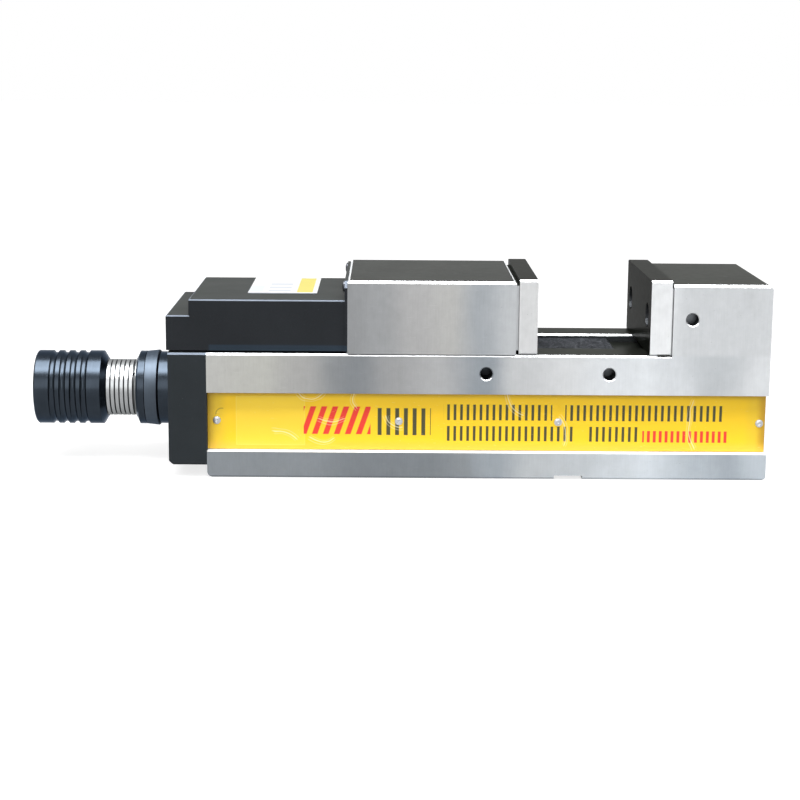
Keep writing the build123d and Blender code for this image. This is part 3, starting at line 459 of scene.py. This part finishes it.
def satin_black(name, side, top, edge, roughness, foot=None):
    """Return a blackened sheet or block, with a painted tone on its tops and painted highlights on
    the folds. A foot is the middle height of a paler band of painted reflection, over the rails
    and forward of the band's starting X.
    """
    paint = Finish(name, Specular_IOR_Level=0.03)
    _, _, facing_z = paint.axes(paint.facing)
    x, _, z = paint.axes(paint.place)
    cloud = paint.noise(28.0, 3.0, 0.55)
    fine = paint.noise(1400.0, 2.0, 0.6)
    result = side
    # Painted reflection of the bed, a paler band near the foot.
    if foot:
        painted_reflection_band = paint.between(z, foot - 6.0 * MM, foot + 5.6 * MM, 0.5 * MM)
        painted_reflection_band = paint.math("MULTIPLY", painted_reflection_band, paint.step(x, COVER_REFLECTION_X, COVER_REFLECTION_X + 2.0 * MM))
        result = paint.mix(painted_reflection_band, side, from_screen(45, 55, 65))
    # Painted tone on the faces that look up.
    result = paint.mix(paint.step(facing_z, 0.75, 0.97), result, top)
    # Painted highlight on the folds.
    rise = paint.step(facing_z, 0.25, 0.5)
    fold_highlight = paint.math("MULTIPLY", rise, paint.step(facing_z, 0.95, 0.85))
    result = paint.mix(fold_highlight, result, edge)
    result = paint.shade(result, paint.level(cloud, 0.84, 1.16))
    result = paint.shade(result, paint.level(fine, 0.86, 1.14))
    specks = paint.step(paint.noise(1100.0, 2.0, 0.5), 0.74, 0.80)
    result = paint.over(result, specks, (0.20, 0.21, 0.22, 1.0), 0.22)
    paint.rough(paint.level(cloud, roughness - 0.05, roughness + 0.08))
    paint.relief(fine, 0.03 * MM, 0.25)
    return paint.colour(result)


def enamel_ground(paint, x, z):
    """Return the golden enamel, darker at the ends, with painted shade under the rails and painted
    light at the foot.
    """
    golden = from_screen(255, 209, 32)
    run = (
        (-311, from_screen(206, 166, 40)), (-304, from_screen(240, 200, 44)), (-296, golden),
        (68, golden), (77, from_screen(244, 202, 44)), (84, from_screen(196, 150, 34)),
    )
    cloud = paint.noise(16.0, 2.0, 0.5, paint.spread((1.0, 1.0, 2.2)))
    result = paint.shade(paint.tones(x, run), paint.level(cloud, 0.95, 1.05))
    # Painted shade under the rails.
    rail_shade = paint.step(z, 55.5 * MM, 60.2 * MM)
    result = paint.over(result, rail_shade, from_screen(203, 160, 44), 0.85)
    # Painted reflection of the ledge at the foot.
    foot = paint.step(z, 27.0 * MM, 20.5 * MM)
    return paint.over(result, foot, from_screen(232, 186, 62), 0.7)


def film_patch(paint, result, x, z, front):
    """Return the colour with a patch of clear film and its rim near the handle end."""
    film = paint.math("MULTIPLY", front, paint.field(x, z, -291.0, -242.0, 21.7, 57.0))
    inner = paint.math("MULTIPLY", front, paint.field(x, z, -290.4, -242.6, 22.3, 56.4))
    result = paint.over(result, film, from_screen(255, 236, 104), 0.22)
    rim = paint.math("SUBTRACT", film, inner)
    return paint.over(result, rim, from_screen(255, 240, 150), 0.12)


def hatched_fields(paint, result, x, z, front):
    """Return the colour with plain fields of red and dark strokes."""
    red = from_screen(236, 58, 44)
    dark = from_screen(66, 66, 36)
    # Left, right, low, high and pitch in mm, the strokes' share of the pitch, slant and ink.
    fields = (
        (-243.0, -195.5, 30.0, 50.0, 7.8, 0.52, 0.35, red),
        (-191.7, -152.8, 29.5, 49.0, 6.2, 0.46, 0.0, dark),
        (-143.9, -66.7, 40.6, 52.0, 4.6, 0.42, 0.0, dark),
        (-57.5, 55.7, 40.6, 52.0, 4.6, 0.42, 0.0, dark),
        (-143.9, -49.7, 25.6, 36.4, 4.6, 0.42, 0.0, dark),
        (-40.5, -5.2, 25.6, 36.4, 4.6, 0.42, 0.0, dark),
        (-2.3, 57.8, 25.3, 33.6, 4.2, 0.50, 0.0, red),
    )
    for left, right, low, high, pitch, duty, slant, ink in fields:
        place = paint.math("MULTIPLY", front, paint.field(x, z, left, right, low, high))
        strokes = paint.math("MULTIPLY", place, paint.hatch(x, z, pitch, duty, slant))
        result = paint.mix(strokes, result, ink)
    return result


def film_creases(paint, result, x, z, front):
    """Return the colour with the film's bent creases, each a painted highlight between two fainter
    ones.
    """
    # Painted highlights on the film's creases.
    crease_highlight = from_screen(255, 247, 205)
    bend = paint.noise(55.0, 2.0, 0.5, paint.spread(shift=(0.2, 0.0, 0.1)))
    bent_x = paint.math("ADD", x, paint.level(bend, -4.0 * MM, 4.0 * MM))
    bent_z = paint.math("SUBTRACT", z, paint.level(bend, -3.0 * MM, 3.0 * MM))
    # Centre and radius in mm, the arc's middle and half angle in degrees.
    creases = (
        ((-238.0, 66.0), 11.0, -90.0, 60.0), ((-223.0, 60.0), 21.0, -90.0, 28.0),
        ((-230.0, 40.0), 15.0, -90.0, 36.0), ((-198.0, 56.0), 10.0, 190.0, 40.0),
        ((-176.0, 45.0), 9.0, 235.0, 50.0), ((-82.0, 62.0), 18.0, 215.0, 40.0),
        ((-75.0, 31.0), 18.0, 10.0, 38.0), ((62.0, 38.0), 32.0, 180.0, 34.0),
        ((-262.0, 12.0), 20.0, 70.0, 30.0),
    )
    # Offset and width in mm, and the line's strength.
    lines = ((0.0, 0.65, 0.5), (1.9, 0.5, 0.22), (-1.5, 0.45, 0.16))
    for centre, radius, middle, half_angle in creases:
        for offset, width, strength in lines:
            line = paint.arc(bent_x, bent_z, centre, radius + offset, middle, half_angle, width)
            result = paint.over(result, paint.math("MULTIPLY", front, line), crease_highlight, strength)
    return result


def yellow_enamel():
    """Return the side plates' yellow enamel; the front one also has film and hatched fields."""
    paint = Finish(
        "yellow_enamel", roughness=0.45,
        Specular_IOR_Level=0.30, Coat_Weight=0.15, Coat_Roughness=0.15,
    )
    x, y, z = paint.axes(paint.place)
    front = paint.step(y, 10.0 * MM, -10.0 * MM)
    result = enamel_ground(paint, x, z)
    result = film_patch(paint, result, x, z, front)
    result = hatched_fields(paint, result, x, z, front)
    result = film_creases(paint, result, x, z, front)
    scratch = paint.arc(x, z, (-301.0, 44.0), 4.2, 130.0, 60.0, 0.5)
    result = paint.over(result, scratch, from_screen(120, 92, 40), 0.6)
    scuffs = paint.streaks((260.0, 260.0, 1600.0), detail=1.0, turn=(0.0, 0.6, 0.0))
    result = paint.over(result, paint.step(scuffs, 0.72, 0.77), from_screen(255, 240, 160), 0.25)
    ripple = paint.noise(26.0, 3.0, 0.55, paint.spread((1.0, 1.0, 0.55)), distortion=1.6)
    paint.relief(ripple, 0.3 * MM, 0.25)
    return paint.colour(result)


def label_film():
    """Return the cover's plain white label, with fields of colour and a grey rim."""
    paint = Finish("label_film", roughness=0.38, Specular_IOR_Level=0.4)
    x, y, _ = paint.axes(paint.place)
    result = paint.shade((0.88, 0.88, 0.88, 1.0), paint.level(paint.noise(60.0), 0.97, 1.03))
    grey = from_screen(208, 214, 222)
    # Left, right, low and high in mm, and the colour.
    fields = (
        (-249.2, -237.9, -24.0, 55.0, from_screen(230, 214, 64)),
        (-287.0, -274.0, -22.0, 10.0, from_screen(226, 232, 238)),
        (-270.0, -254.0, 16.0, 24.0, grey),
        (-270.0, -254.0, -2.0, 6.0, grey),
        (-270.0, -254.0, -20.0, -12.0, grey),
    )
    for left, right, low, high, ink in fields:
        result = paint.mix(paint.field(x, y, left, right, low, high, 0.3 * MM), result, ink)
    rim = paint.step(y, -27.5 * MM, -28.5 * MM)
    return paint.colour(paint.mix(rim, result, from_screen(150, 160, 172)))


def guard_steel():
    """Return the channel guard's dark blue-grey steel, speckled with chips and oil."""
    paint = Finish("guard_steel", metallic=1.0, Specular_Tint=(0.15, 0.155, 0.165, 1.0))
    cloud = paint.noise(120.0, 4.0, 0.6)
    wiped = paint.streaks((60.0, 1300.0, 1300.0))
    result = paint.shade((0.034, 0.037, 0.042, 1.0), paint.level(cloud, 0.6, 1.4))
    result = paint.shade(result, paint.level(wiped, 0.75, 1.25))
    specks = paint.step(paint.noise(700.0, 2.0, 0.7), 0.50, 0.60)
    result = paint.over(result, specks, (0.26, 0.27, 0.29, 1.0), 0.55)
    paint.rough(paint.level(cloud, 0.35, 0.55))
    return paint.colour(result)


def plain_metal(name, base, roughness):
    """Return a small part's metal, lightly clouded."""
    paint = Finish(name, metallic=1.0, Specular_Tint=(0.5, 0.5, 0.5, 1.0))
    cloud = paint.noise(300.0, 3.0, 0.6)
    paint.rough(paint.level(cloud, roughness - 0.05, roughness + 0.1))
    return paint.colour(paint.shade(base, paint.level(cloud, 0.8, 1.2)))


def nitrile():
    """Return the seals' black rubber."""
    paint = Finish("nitrile", Specular_IOR_Level=0.3)
    cloud = paint.noise(500.0, 3.0, 0.6)
    paint.rough(paint.level(cloud, 0.5, 0.7))
    paint.relief(cloud, 0.02 * MM, 0.3)
    return paint.colour(paint.shade((0.022, 0.022, 0.023, 1.0), paint.level(cloud, 0.7, 1.3)))


finishes = {
    "bed_iron": bed_iron(),
    "jaw_iron": jaw_iron(),
    "jaw_plate_steel": jaw_plate_steel(),
    "guard_steel": guard_steel(),
    "cover_black": satin_black(
        "cover_black",
        side=(0.022, 0.0245, 0.028, 1.0),
        top=(0.024, 0.029, 0.027, 1.0),
        edge=from_screen(150, 160, 175),
        roughness=0.42,
        # Height of the painted reflection band.
        foot=BED_TOP,
    ),
    "flange_black": satin_black(
        "flange_black",
        side=(0.028, 0.033, 0.037, 1.0),
        # Painted light on the flange's tops.
        top=(0.058, 0.064, 0.066, 1.0),
        edge=from_screen(150, 162, 178),
        roughness=0.55,
    ),
    "polished_black": black_steel("polished_black", (0.023, 0.029, 0.037, 1.0), 0.25),
    "matt_band": black_steel("matt_band", (0.052, 0.064, 0.080, 1.0), 0.48),
    "booster_steel": turned_steel(
        "booster_steel",
        base=(0.29, 0.30, 0.305, 1.0),
        # Painted shade in the booster's grooves.
        dark=(0.06, 0.06, 0.065, 1.0),
        groove_radius=HOUSING_RING_RADIUS,
    ),
    "bright_steel": turned_steel("bright_steel", (0.62, 0.62, 0.61, 1.0), (0.1, 0.1, 0.1, 1.0)),
    "yellow_enamel": yellow_enamel(),
    "label_film": label_film(),
    "zinc_screws": plain_metal("zinc_screws", (0.40, 0.41, 0.43, 1.0), 0.36),
    "black_screws": plain_metal("black_screws", (0.055, 0.058, 0.065, 1.0), 0.32),
    "bearing_bronze": plain_metal("bearing_bronze", (0.52, 0.33, 0.14, 1.0), 0.34),
    "nitrile": nitrile(),
}

finish_of_node = {
    "vise_body": "bed_iron",
    "movable_jaw": "jaw_iron",
    "drive_nut": "jaw_iron",
    "fixed_jaw_plate": "jaw_plate_steel",
    "movable_jaw_plate": "jaw_plate_steel",
    "fixed_jaw_plate_screws": "black_screws",
    "movable_jaw_plate_screws": "black_screws",
    "nut_retaining_screw": "black_screws",
    "pull_down_segment": "bright_steel",
    "slot_guard": "guard_steel",
    "guard_screws": "black_screws",
    "chip_cover": "cover_black",
    "cover_screws": "black_screws",
    "cover_label": "label_film",
    "side_plate_front": "yellow_enamel",
    "side_plate_back": "yellow_enamel",
    "side_plate_screws": "zinc_screws",
    "bearing_flange": "flange_black",
    "flange_screws": "black_screws",
    "bearing_cap": "polished_black",
    "spindle_wiper": "nitrile",
    "radial_bush": "bearing_bronze",
    "thrust_washers": "bright_steel",
    "thrust_rollers": "bright_steel",
    "thrust_cage": "bearing_bronze",
    "booster_housing": "booster_steel",
    "index_ring": "matt_band",
    "lock_collar": "polished_black",
    "input_circlip": "black_screws",
    "clutch_springs": "bright_steel",
    "input_shaft": "bright_steel",
    "primary_piston": "bright_steel",
    "piston_seal": "nitrile",
    "spindle_screw": "bright_steel",
    "ram_seals": "nitrile",
    "drive_key": "bright_steel",
    "grip_sleeve": "polished_black",
    "grip_ring": "nitrile",
}

for name, finish in finish_of_node.items():
    mesh = nodes[name].data
    mesh.materials.clear()
    mesh.materials.append(finishes[finish])


class Recipe:
    """A geometry node tree under construction, with named sizes as its inputs."""

    def __init__(self, name):
        self.tree = bpy.data.node_groups.new(name, "GeometryNodeTree")
        for way in ("INPUT", "OUTPUT"):
            self.tree.interface.new_socket(
                name="Geometry", in_out=way, socket_type="NodeSocketGeometry"
            )
        self.given = self.tree.nodes.new("NodeGroupInput")
        self.result = self.tree.nodes.new("NodeGroupOutput")

    def size(self, name, kind="Float"):
        """Add a named input and return its socket."""
        self.tree.interface.new_socket(name=name, in_out="INPUT", socket_type="NodeSocket" + kind)
        return self.given.outputs[name]

    def node(self, kind, inputs=(), **settings):
        """Add a node and return it; an input may be a list for a socket with many links."""
        made = self.tree.nodes.new(kind)
        for key, value in settings.items():
            setattr(made, key, value)
        for key, value in dict(inputs).items():
            for item in value if isinstance(value, list) else (value,):
                if isinstance(item, bpy.types.NodeSocket):
                    self.tree.links.new(item, made.inputs[key])
                else:
                    made.inputs[key].default_value = item
        return made

    def math(self, operation, *values):
        """Return a math node's result."""
        made = self.node("ShaderNodeMath", dict(enumerate(values)), operation=operation)
        return made.outputs[0]

    def times(self, first, second):
        """Return the product of two numbers or sockets."""
        return self.math("MULTIPLY", first, second)

    def vector(self, x=0.0, y=0.0, z=0.0):
        """Return a vector from three numbers or sockets."""
        return self.node("ShaderNodeCombineXYZ", {0: x, 1: y, 2: z}).outputs[0]

    def lifted(self, geometry, height):
        """Return a geometry moved up its own axis by a number or socket."""
        inputs = {"Geometry": geometry, "Translation": self.vector(z=height)}
        return self.node("GeometryNodeTransform", inputs).outputs[0]

    def union(self, first, second):
        """Return two closed meshes as one."""
        return self.boolean("UNION", {"Mesh 2": [first, second]})

    def difference(self, first, second):
        """Return a closed mesh with another cut out of it."""
        return self.boolean("DIFFERENCE", {"Mesh 1": first, "Mesh 2": [second]})

    def boolean(self, operation, inputs):
        """Return the result of an exact boolean."""
        made = self.node(
            "GeometryNodeMeshBoolean", inputs, operation=operation, solver="EXACT"
        )
        return made.outputs[0]

    def copies(self, shape, material):
        """End the tree with a copy of the shape on each host point, turned to its facing."""
        angle = self.node("GeometryNodeInputMeshEdgeAngle").outputs["Unsigned Angle"]
        sharp = self.node(
            "FunctionNodeCompare", {0: angle, 1: SHARP_ANGLE}, operation="GREATER_THAN"
        ).outputs[0]
        soft = self.node(
            "GeometryNodeSetShadeSmooth", {"Geometry": shape, "Shade Smooth": True}, domain="FACE"
        ).outputs[0]
        edged = self.node(
            "GeometryNodeSetShadeSmooth",
            {"Geometry": soft, "Selection": sharp, "Shade Smooth": False},
            domain="EDGE",
        ).outputs[0]
        facing = self.node(
            "GeometryNodeInputNamedAttribute", {"Name": "facing"}, data_type="FLOAT_VECTOR"
        ).outputs["Attribute"]
        turn = self.node("FunctionNodeAlignRotationToVector", {"Vector": facing}, axis="Z")
        inputs = {
            "Points": self.given.outputs["Geometry"],
            "Instance": edged,
            "Rotation": turn.outputs[0],
        }
        self.paint(self.node("GeometryNodeInstanceOnPoints", inputs).outputs[0], material)

    def paint(self, geometry, material):
        """End the tree with the geometry's real copies in one material."""
        real = self.node("GeometryNodeRealizeInstances", {0: geometry}).outputs[0]
        painted = self.node("GeometryNodeSetMaterial", {"Geometry": real, "Material": material})
        self.tree.links.new(painted.outputs[0], self.result.inputs[0])

    def make(self, name, host, sizes):
        """Return the plain mesh object that the tree makes from a host mesh."""
        made = bpy.data.objects.new(name, host)
        bpy.context.scene.collection.objects.link(made)
        modifier = made.modifiers.new("recipe", "NODES")
        modifier.node_group = self.tree
        for socket in self.tree.interface.items_tree:
            if socket.in_out == "INPUT" and socket.name in sizes:
                modifier[socket.identifier] = sizes[socket.name]
        graph = bpy.context.evaluated_depsgraph_get()
        mesh = bpy.data.meshes.new_from_object(made.evaluated_get(graph), depsgraph=graph)
        made.modifiers.remove(modifier)
        made.data = mesh
        shell = bmesh.new()
        shell.from_mesh(mesh)
        bmesh.ops.remove_doubles(shell, verts=shell.verts, dist=MADE_WELD)
        bmesh.ops.recalc_face_normals(shell, faces=shell.faces)
        shell.to_mesh(mesh)
        shell.free()
        return made


def screw_recipe():
    """Build the tree of a socket screw: crowned head, hexagon socket with a drill cone, shank."""
    recipe = Recipe("socket_screw")
    head_radius = recipe.size("Head radius")
    foot_radius = recipe.size("Head foot radius")
    head_height = recipe.size("Head height")
    crown = recipe.size("Crown")
    shank_radius = recipe.size("Shank radius")
    shank_length = recipe.size("Shank length")
    socket_radius = recipe.size("Socket radius")
    socket_depth = recipe.size("Socket depth")
    material = recipe.size("Material", "Material")

    # Shares of the socket's radius for its drill cone and its chamfered mouth, and the share of
    # the mouth's height that is sunk.
    cone_height, cone_radius = 0.45, 0.84
    mouth_height, mouth_radius, mouth_foot = 0.3, 1.18, 0.88
    mouth_sunk = 0.9
    # How far the shank runs into the head, and the drill cone into the socket, and its tip.
    shank_lap = 0.1 * MM
    cone_lap = 0.02 * MM
    cone_tip = 0.02 * MM

    head = recipe.node("GeometryNodeMeshCone", {
        "Vertices": 36, "Side Segments": 3, "Fill Segments": 4,
        "Radius Top": head_radius, "Radius Bottom": foot_radius, "Depth": head_height,
    }).outputs["Mesh"]
    place = recipe.node("GeometryNodeInputPosition").outputs[0]
    x, y, z = recipe.node("ShaderNodeSeparateXYZ", {0: place}).outputs
    square = recipe.math("ADD", recipe.times(x, x), recipe.times(y, y))
    share = recipe.math("DIVIDE", square, recipe.times(head_radius, head_radius))
    drop = recipe.times(recipe.times(share, recipe.math("DIVIDE", z, head_height)), crown)
    domed = recipe.node("GeometryNodeSetPosition", {
        "Geometry": head, "Offset": recipe.vector(z=recipe.times(drop, -1.0)),
    }).outputs[0]
    domed = recipe.lifted(domed, recipe.times(head_height, -1.0))

    shank = recipe.node("GeometryNodeMeshCylinder", {
        "Vertices": 24, "Radius": shank_radius, "Depth": shank_length,
    }).outputs["Mesh"]
    shank_middle = recipe.math("SUBTRACT", recipe.times(shank_length, -0.5), head_height)
    shank = recipe.lifted(shank, recipe.math("ADD", shank_middle, shank_lap))
    body = recipe.union(domed, shank)

    hexagon = recipe.node("GeometryNodeMeshCylinder", {
        "Vertices": 6, "Radius": socket_radius, "Depth": recipe.times(socket_depth, 2.0),
    }).outputs["Mesh"]
    body = recipe.difference(body, hexagon)

    drill_height = recipe.times(socket_radius, cone_height)
    drill = recipe.node("GeometryNodeMeshCone", {
        "Vertices": 24, "Radius Top": recipe.times(socket_radius, cone_radius),
        "Radius Bottom": cone_tip, "Depth": drill_height,
    }).outputs["Mesh"]
    sink = recipe.times(recipe.math("ADD", socket_depth, drill_height), -1.0)
    body = recipe.difference(body, recipe.lifted(drill, recipe.math("ADD", sink, cone_lap)))

    mouth_depth = recipe.times(socket_radius, mouth_height)
    mouth = recipe.node("GeometryNodeMeshCone", {
        "Vertices": 24, "Radius Top": recipe.times(socket_radius, mouth_radius),
        "Radius Bottom": recipe.times(socket_radius, mouth_foot), "Depth": mouth_depth,
    }).outputs["Mesh"]
    body = recipe.difference(body, recipe.lifted(mouth, recipe.times(mouth_depth, -mouth_sunk)))
    recipe.copies(body, material)
    return recipe


def thread_recipe():
    """Build the tree that cuts a left-hand trapezoid thread into its input, a bar along X."""
    recipe = Recipe("trapezoid_thread")
    crest_radius = recipe.size("Crest radius")
    root_radius = recipe.size("Root radius")
    mouth = recipe.size("Groove mouth")
    floor = recipe.size("Groove floor")
    length = recipe.size("Length")
    turns = recipe.size("Turns")
    start = recipe.size("Start", "Vector")
    material = recipe.size("Material", "Material")
    spiral = recipe.node("GeometryNodeCurveSpiral", {
        "Resolution": 32, "Rotations": turns, "Start Radius": root_radius,
        "End Radius": root_radius, "Height": length,
    }).outputs[0]
    upright = recipe.node("GeometryNodeSetCurveNormal", {"Curve": spiral}, mode="Z_UP").outputs[0]
    over = recipe.times(recipe.math("SUBTRACT", root_radius, crest_radius), OVERCUT)
    profile = recipe.node("GeometryNodeCurvePrimitiveQuadrilateral", mode="POINTS")
    corners = ((0.0, floor, -0.5), (over, mouth, -0.5), (over, mouth, 0.5), (0.0, floor, 0.5))
    for number, (reach, width, side) in enumerate(corners):
        corner = recipe.vector(reach, recipe.times(width, side))
        recipe.tree.links.new(corner, profile.inputs[f"Point {number + 1}"])
    groove = recipe.node("GeometryNodeCurveToMesh", {
        "Curve": upright, "Profile Curve": profile.outputs[0], "Fill Caps": True,
    }).outputs[0]
    outward = recipe.node("GeometryNodeFlipFaces", {"Mesh": groove}).outputs[0]
    along_bar = recipe.node("GeometryNodeTransform", {
        "Geometry": outward, "Translation": start, "Rotation": (0.0, math.radians(90.0), 0.0),
    }).outputs[0]
    recipe.paint(recipe.difference(recipe.given.outputs["Geometry"], along_bar), material)
    return recipe


def solids_of(node):
    """Return the low and high corners of each separate solid of a node, from the handle end."""
    shell = bmesh.new()
    shell.from_mesh(nodes[node].data)
    bmesh.ops.remove_doubles(shell, verts=shell.verts, dist=CAD_WELD)
    left = set(shell.verts)
    boxes = []
    while left:
        island, edge = set(), [left.pop()]
        while edge:
            corner = edge.pop()
            island.add(corner)
            for link in corner.link_edges:
                other = link.other_vert(corner)
                if other in left:
                    left.discard(other)
                    edge.append(other)
        low = [min(corner.co[axis] for corner in island) for axis in range(3)]
        high = [max(corner.co[axis] for corner in island) for axis in range(3)]
        boxes.append((low, high))
    shell.free()
    return sorted(boxes)


def host_of(name, spots):
    """Return a mesh with one point for each (place, facing) spot."""
    host = bpy.data.meshes.new(name)
    host.from_pydata([place for place, _ in spots], [], [])
    facings = host.attributes.new("facing", "FLOAT_VECTOR", "POINT")
    facings.data.foreach_set("vector", [value for _, facing in spots for value in facing])
    return host


def dress_screws(recipe, node, body, axis, outward, finish, **sizes):
    """Make a node's screws again with domed heads and sockets, on the node's own places.

    Outward is the side of the axis that the heads look to, or 0 for away from the middle plane.
    The sizes are in mm.
    """
    spots = []
    for low, high in solids_of(node):
        place = [(a + b) / 2 for a, b in zip(low, high)]
        way = outward if outward else math.copysign(1, place[axis])
        place[axis] = high[axis] if way > 0 else low[axis]
        facing = [0.0, 0.0, 0.0]
        facing[axis] = float(way)
        spots.append((place, facing))
        length = high[axis] - low[axis]
    named = {key.replace("_", " ").capitalize(): value * MM for key, value in sizes.items()}
    named["Head foot radius"] = named["Head radius"]
    named["Shank length"] = length - named["Head height"]
    named["Material"] = finishes[finish]
    piece = recipe.make(node + "_dressed", host_of(node + "_spots", spots), named)
    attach(piece, body)
    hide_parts(node)


def across_corners(flats):
    """Return the radius of a hexagon over its corners."""
    return flats / math.sqrt(3)


screws = screw_recipe()
dress_screws(
    screws, "side_plate_screws", "vise_bed", 1, 0, "zinc_screws",
    head_radius=2.75, head_height=1.65, crown=0.75, shank_radius=1.5,
    socket_radius=across_corners(2.0), socket_depth=1.0,
)
dress_screws(
    screws, "cover_screws", "sliding_jaw", 0, -1, "black_screws",
    head_radius=4.0, head_height=2.2, crown=1.1, shank_radius=2.0,
    socket_radius=across_corners(2.5), socket_depth=1.3,
)
dress_screws(
    screws, "flange_screws", "vise_bed", 0, -1, "black_screws",
    head_radius=6.5, head_height=8.0, crown=0.15, shank_radius=4.0,
    socket_radius=across_corners(6.0), socket_depth=4.8,
)
for plate, body, way in (
    ("fixed_jaw_plate", "vise_bed", -1),
    ("movable_jaw_plate", "sliding_jaw", 1),
):
    dress_screws(
        screws, plate + "_screws", body, 0, way, "black_screws",
        head_radius=8.0, head_height=7.0, crown=0.15, shank_radius=4.95,
        socket_radius=across_corners(8.0), socket_depth=4.2,
    )


def dress_spindle():
    """Cut the drive screw's left-hand trapezoid thread, which shows in the slot behind the jaw."""
    first_x = -306.0 * MM
    bar = bpy.data.meshes.new("spindle_bar")
    shell = bmesh.new()
    shell.from_mesh(nodes["spindle_screw"].data)
    bmesh.ops.remove_doubles(shell, verts=shell.verts, dist=CAD_WELD)
    nose_x = max(corner.co.x for corner in shell.verts)
    shell.to_mesh(bar)
    shell.free()
    length = nose_x - first_x + SPINDLE_LEAD
    sizes = {
        "Crest radius": 16.0 * MM,
        "Root radius": 13.3 * MM,
        "Groove mouth": 4.2 * MM,
        "Groove floor": 2.2 * MM,
        "Length": length,
        "Turns": length / SPINDLE_LEAD,
        "Start": (first_x, 0.0, SPINDLE_Z),
        "Material": finishes["bright_steel"],
    }
    piece = thread_recipe().make("spindle_screw_dressed", bar, sizes)
    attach(piece, "screw")
    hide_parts("spindle_screw")


dress_spindle()


def seen_rays(tree):
    """Return a socket that is 1 on rays from the camera and on mirrored and passed rays."""
    ways = tree.nodes.new("ShaderNodeLightPath")
    seen = ways.outputs["Is Camera Ray"]
    for way in ("Is Glossy Ray", "Is Transmission Ray"):
        larger = tree.nodes.new("ShaderNodeMath")
        larger.operation = "MAXIMUM"
        tree.links.new(seen, larger.inputs[0])
        tree.links.new(ways.outputs[way], larger.inputs[1])
        seen = larger.outputs[0]
    return seen


def floor_paper():
    """Return the white floor, which keeps the object's soft shadow."""
    paint = Finish("floor_paper", roughness=0.9, Specular_IOR_Level=0.1)
    glow = paint.math("MULTIPLY", seen_rays(paint.tree), 0.75)
    paint.put(paint.shader.inputs["Emission Color"], (1.0, 1.0, 1.0, 1.0))
    paint.put(paint.shader.inputs["Emission Strength"], glow)
    return paint.colour((0.5, 0.5, 0.5, 1.0))


def pale_floor():
    """Lay the floor just under the vise."""
    half = 8.0
    level = -0.4 * MM
    corners = [(x * half, y * half, level) for x, y in ((-1, -1), (1, -1), (1, 1), (-1, 1))]
    mesh = bpy.data.meshes.new("studio_floor")
    mesh.from_pydata(corners, [], [(0, 1, 2, 3)])
    mesh.materials.append(floor_paper())
    floor = bpy.data.objects.new("studio_floor", mesh)
    bpy.context.scene.collection.objects.link(floor)


def white_surroundings():
    """Set up a white world that lights less than it shows."""
    world = bpy.data.worlds.new("studio")
    bpy.context.scene.world = world
    world.use_nodes = True
    tree = world.node_tree
    strength = tree.nodes.new("ShaderNodeMapRange")
    tree.links.new(seen_rays(tree), strength.inputs["Value"])
    strength.inputs["To Min"].default_value = 0.54
    strength.inputs["To Max"].default_value = 1.0
    background = tree.nodes["Background"]
    background.inputs["Color"].default_value = (1, 1, 1, 1)
    tree.links.new(strength.outputs["Result"], background.inputs["Strength"])


def lamp(name, place, target, size, watts):
    """Add a soft rectangular lamp that looks at a target."""
    data = bpy.data.lights.new(name, "AREA")
    data.shape = "RECTANGLE"
    data.size, data.size_y = size
    data.energy = watts
    made = bpy.data.objects.new(name, data)
    bpy.context.scene.collection.objects.link(made)
    look = Vector(target) - Vector(place)
    turn = look.to_track_quat("-Z", "Y").to_matrix().to_4x4()
    made.matrix_world = Matrix.Translation(place) @ turn
    return made


def camera():
    """Add the camera at the photograph's viewing angle."""
    place = (-0.18529, -1.34656, 0.30367)
    pitch, yaw, roll = (math.radians(angle) for angle in (10.918, 0.467, 0.4566))
    data = bpy.data.cameras.new("camera")
    data.sensor_width = 36.0
    data.lens = 83.48
    data.clip_end = 50.0
    made = bpy.data.objects.new("camera", data)
    bpy.context.scene.collection.objects.link(made)
    bpy.context.scene.camera = made
    level = Vector((math.cos(yaw), -math.sin(yaw), 0.0))
    forward = Vector((
        math.sin(yaw) * math.cos(pitch), math.cos(yaw) * math.cos(pitch), -math.sin(pitch)
    ))
    upright = level.cross(forward)
    right = level * math.cos(roll) + upright * math.sin(roll)
    up = upright * math.cos(roll) - level * math.sin(roll)
    turn = Matrix((right, up, -forward)).transposed().to_4x4()
    made.matrix_world = Matrix.Translation(place) @ turn


def studio():
    """Set up the floor, the surroundings, the lamps and the camera."""
    bpy.context.scene.view_settings.view_transform = "Standard"
    pale_floor()
    white_surroundings()
    middle = (-0.13, 0.0, 0.06)
    lamp("overhead_box", (-0.13, -0.62, 1.28), middle, (2.2, 0.42), 16.5)
    lamp("front_fill", (-0.5, -2.4, 0.9), middle, (1.4, 1.4), 17.0)
    window = lamp("sky_window", (-0.2, -0.33, 1.47), (-0.2, -0.03, 0.05), (2.4, 1.1), 130.0)
    window.visible_diffuse = False
    camera()


studio()
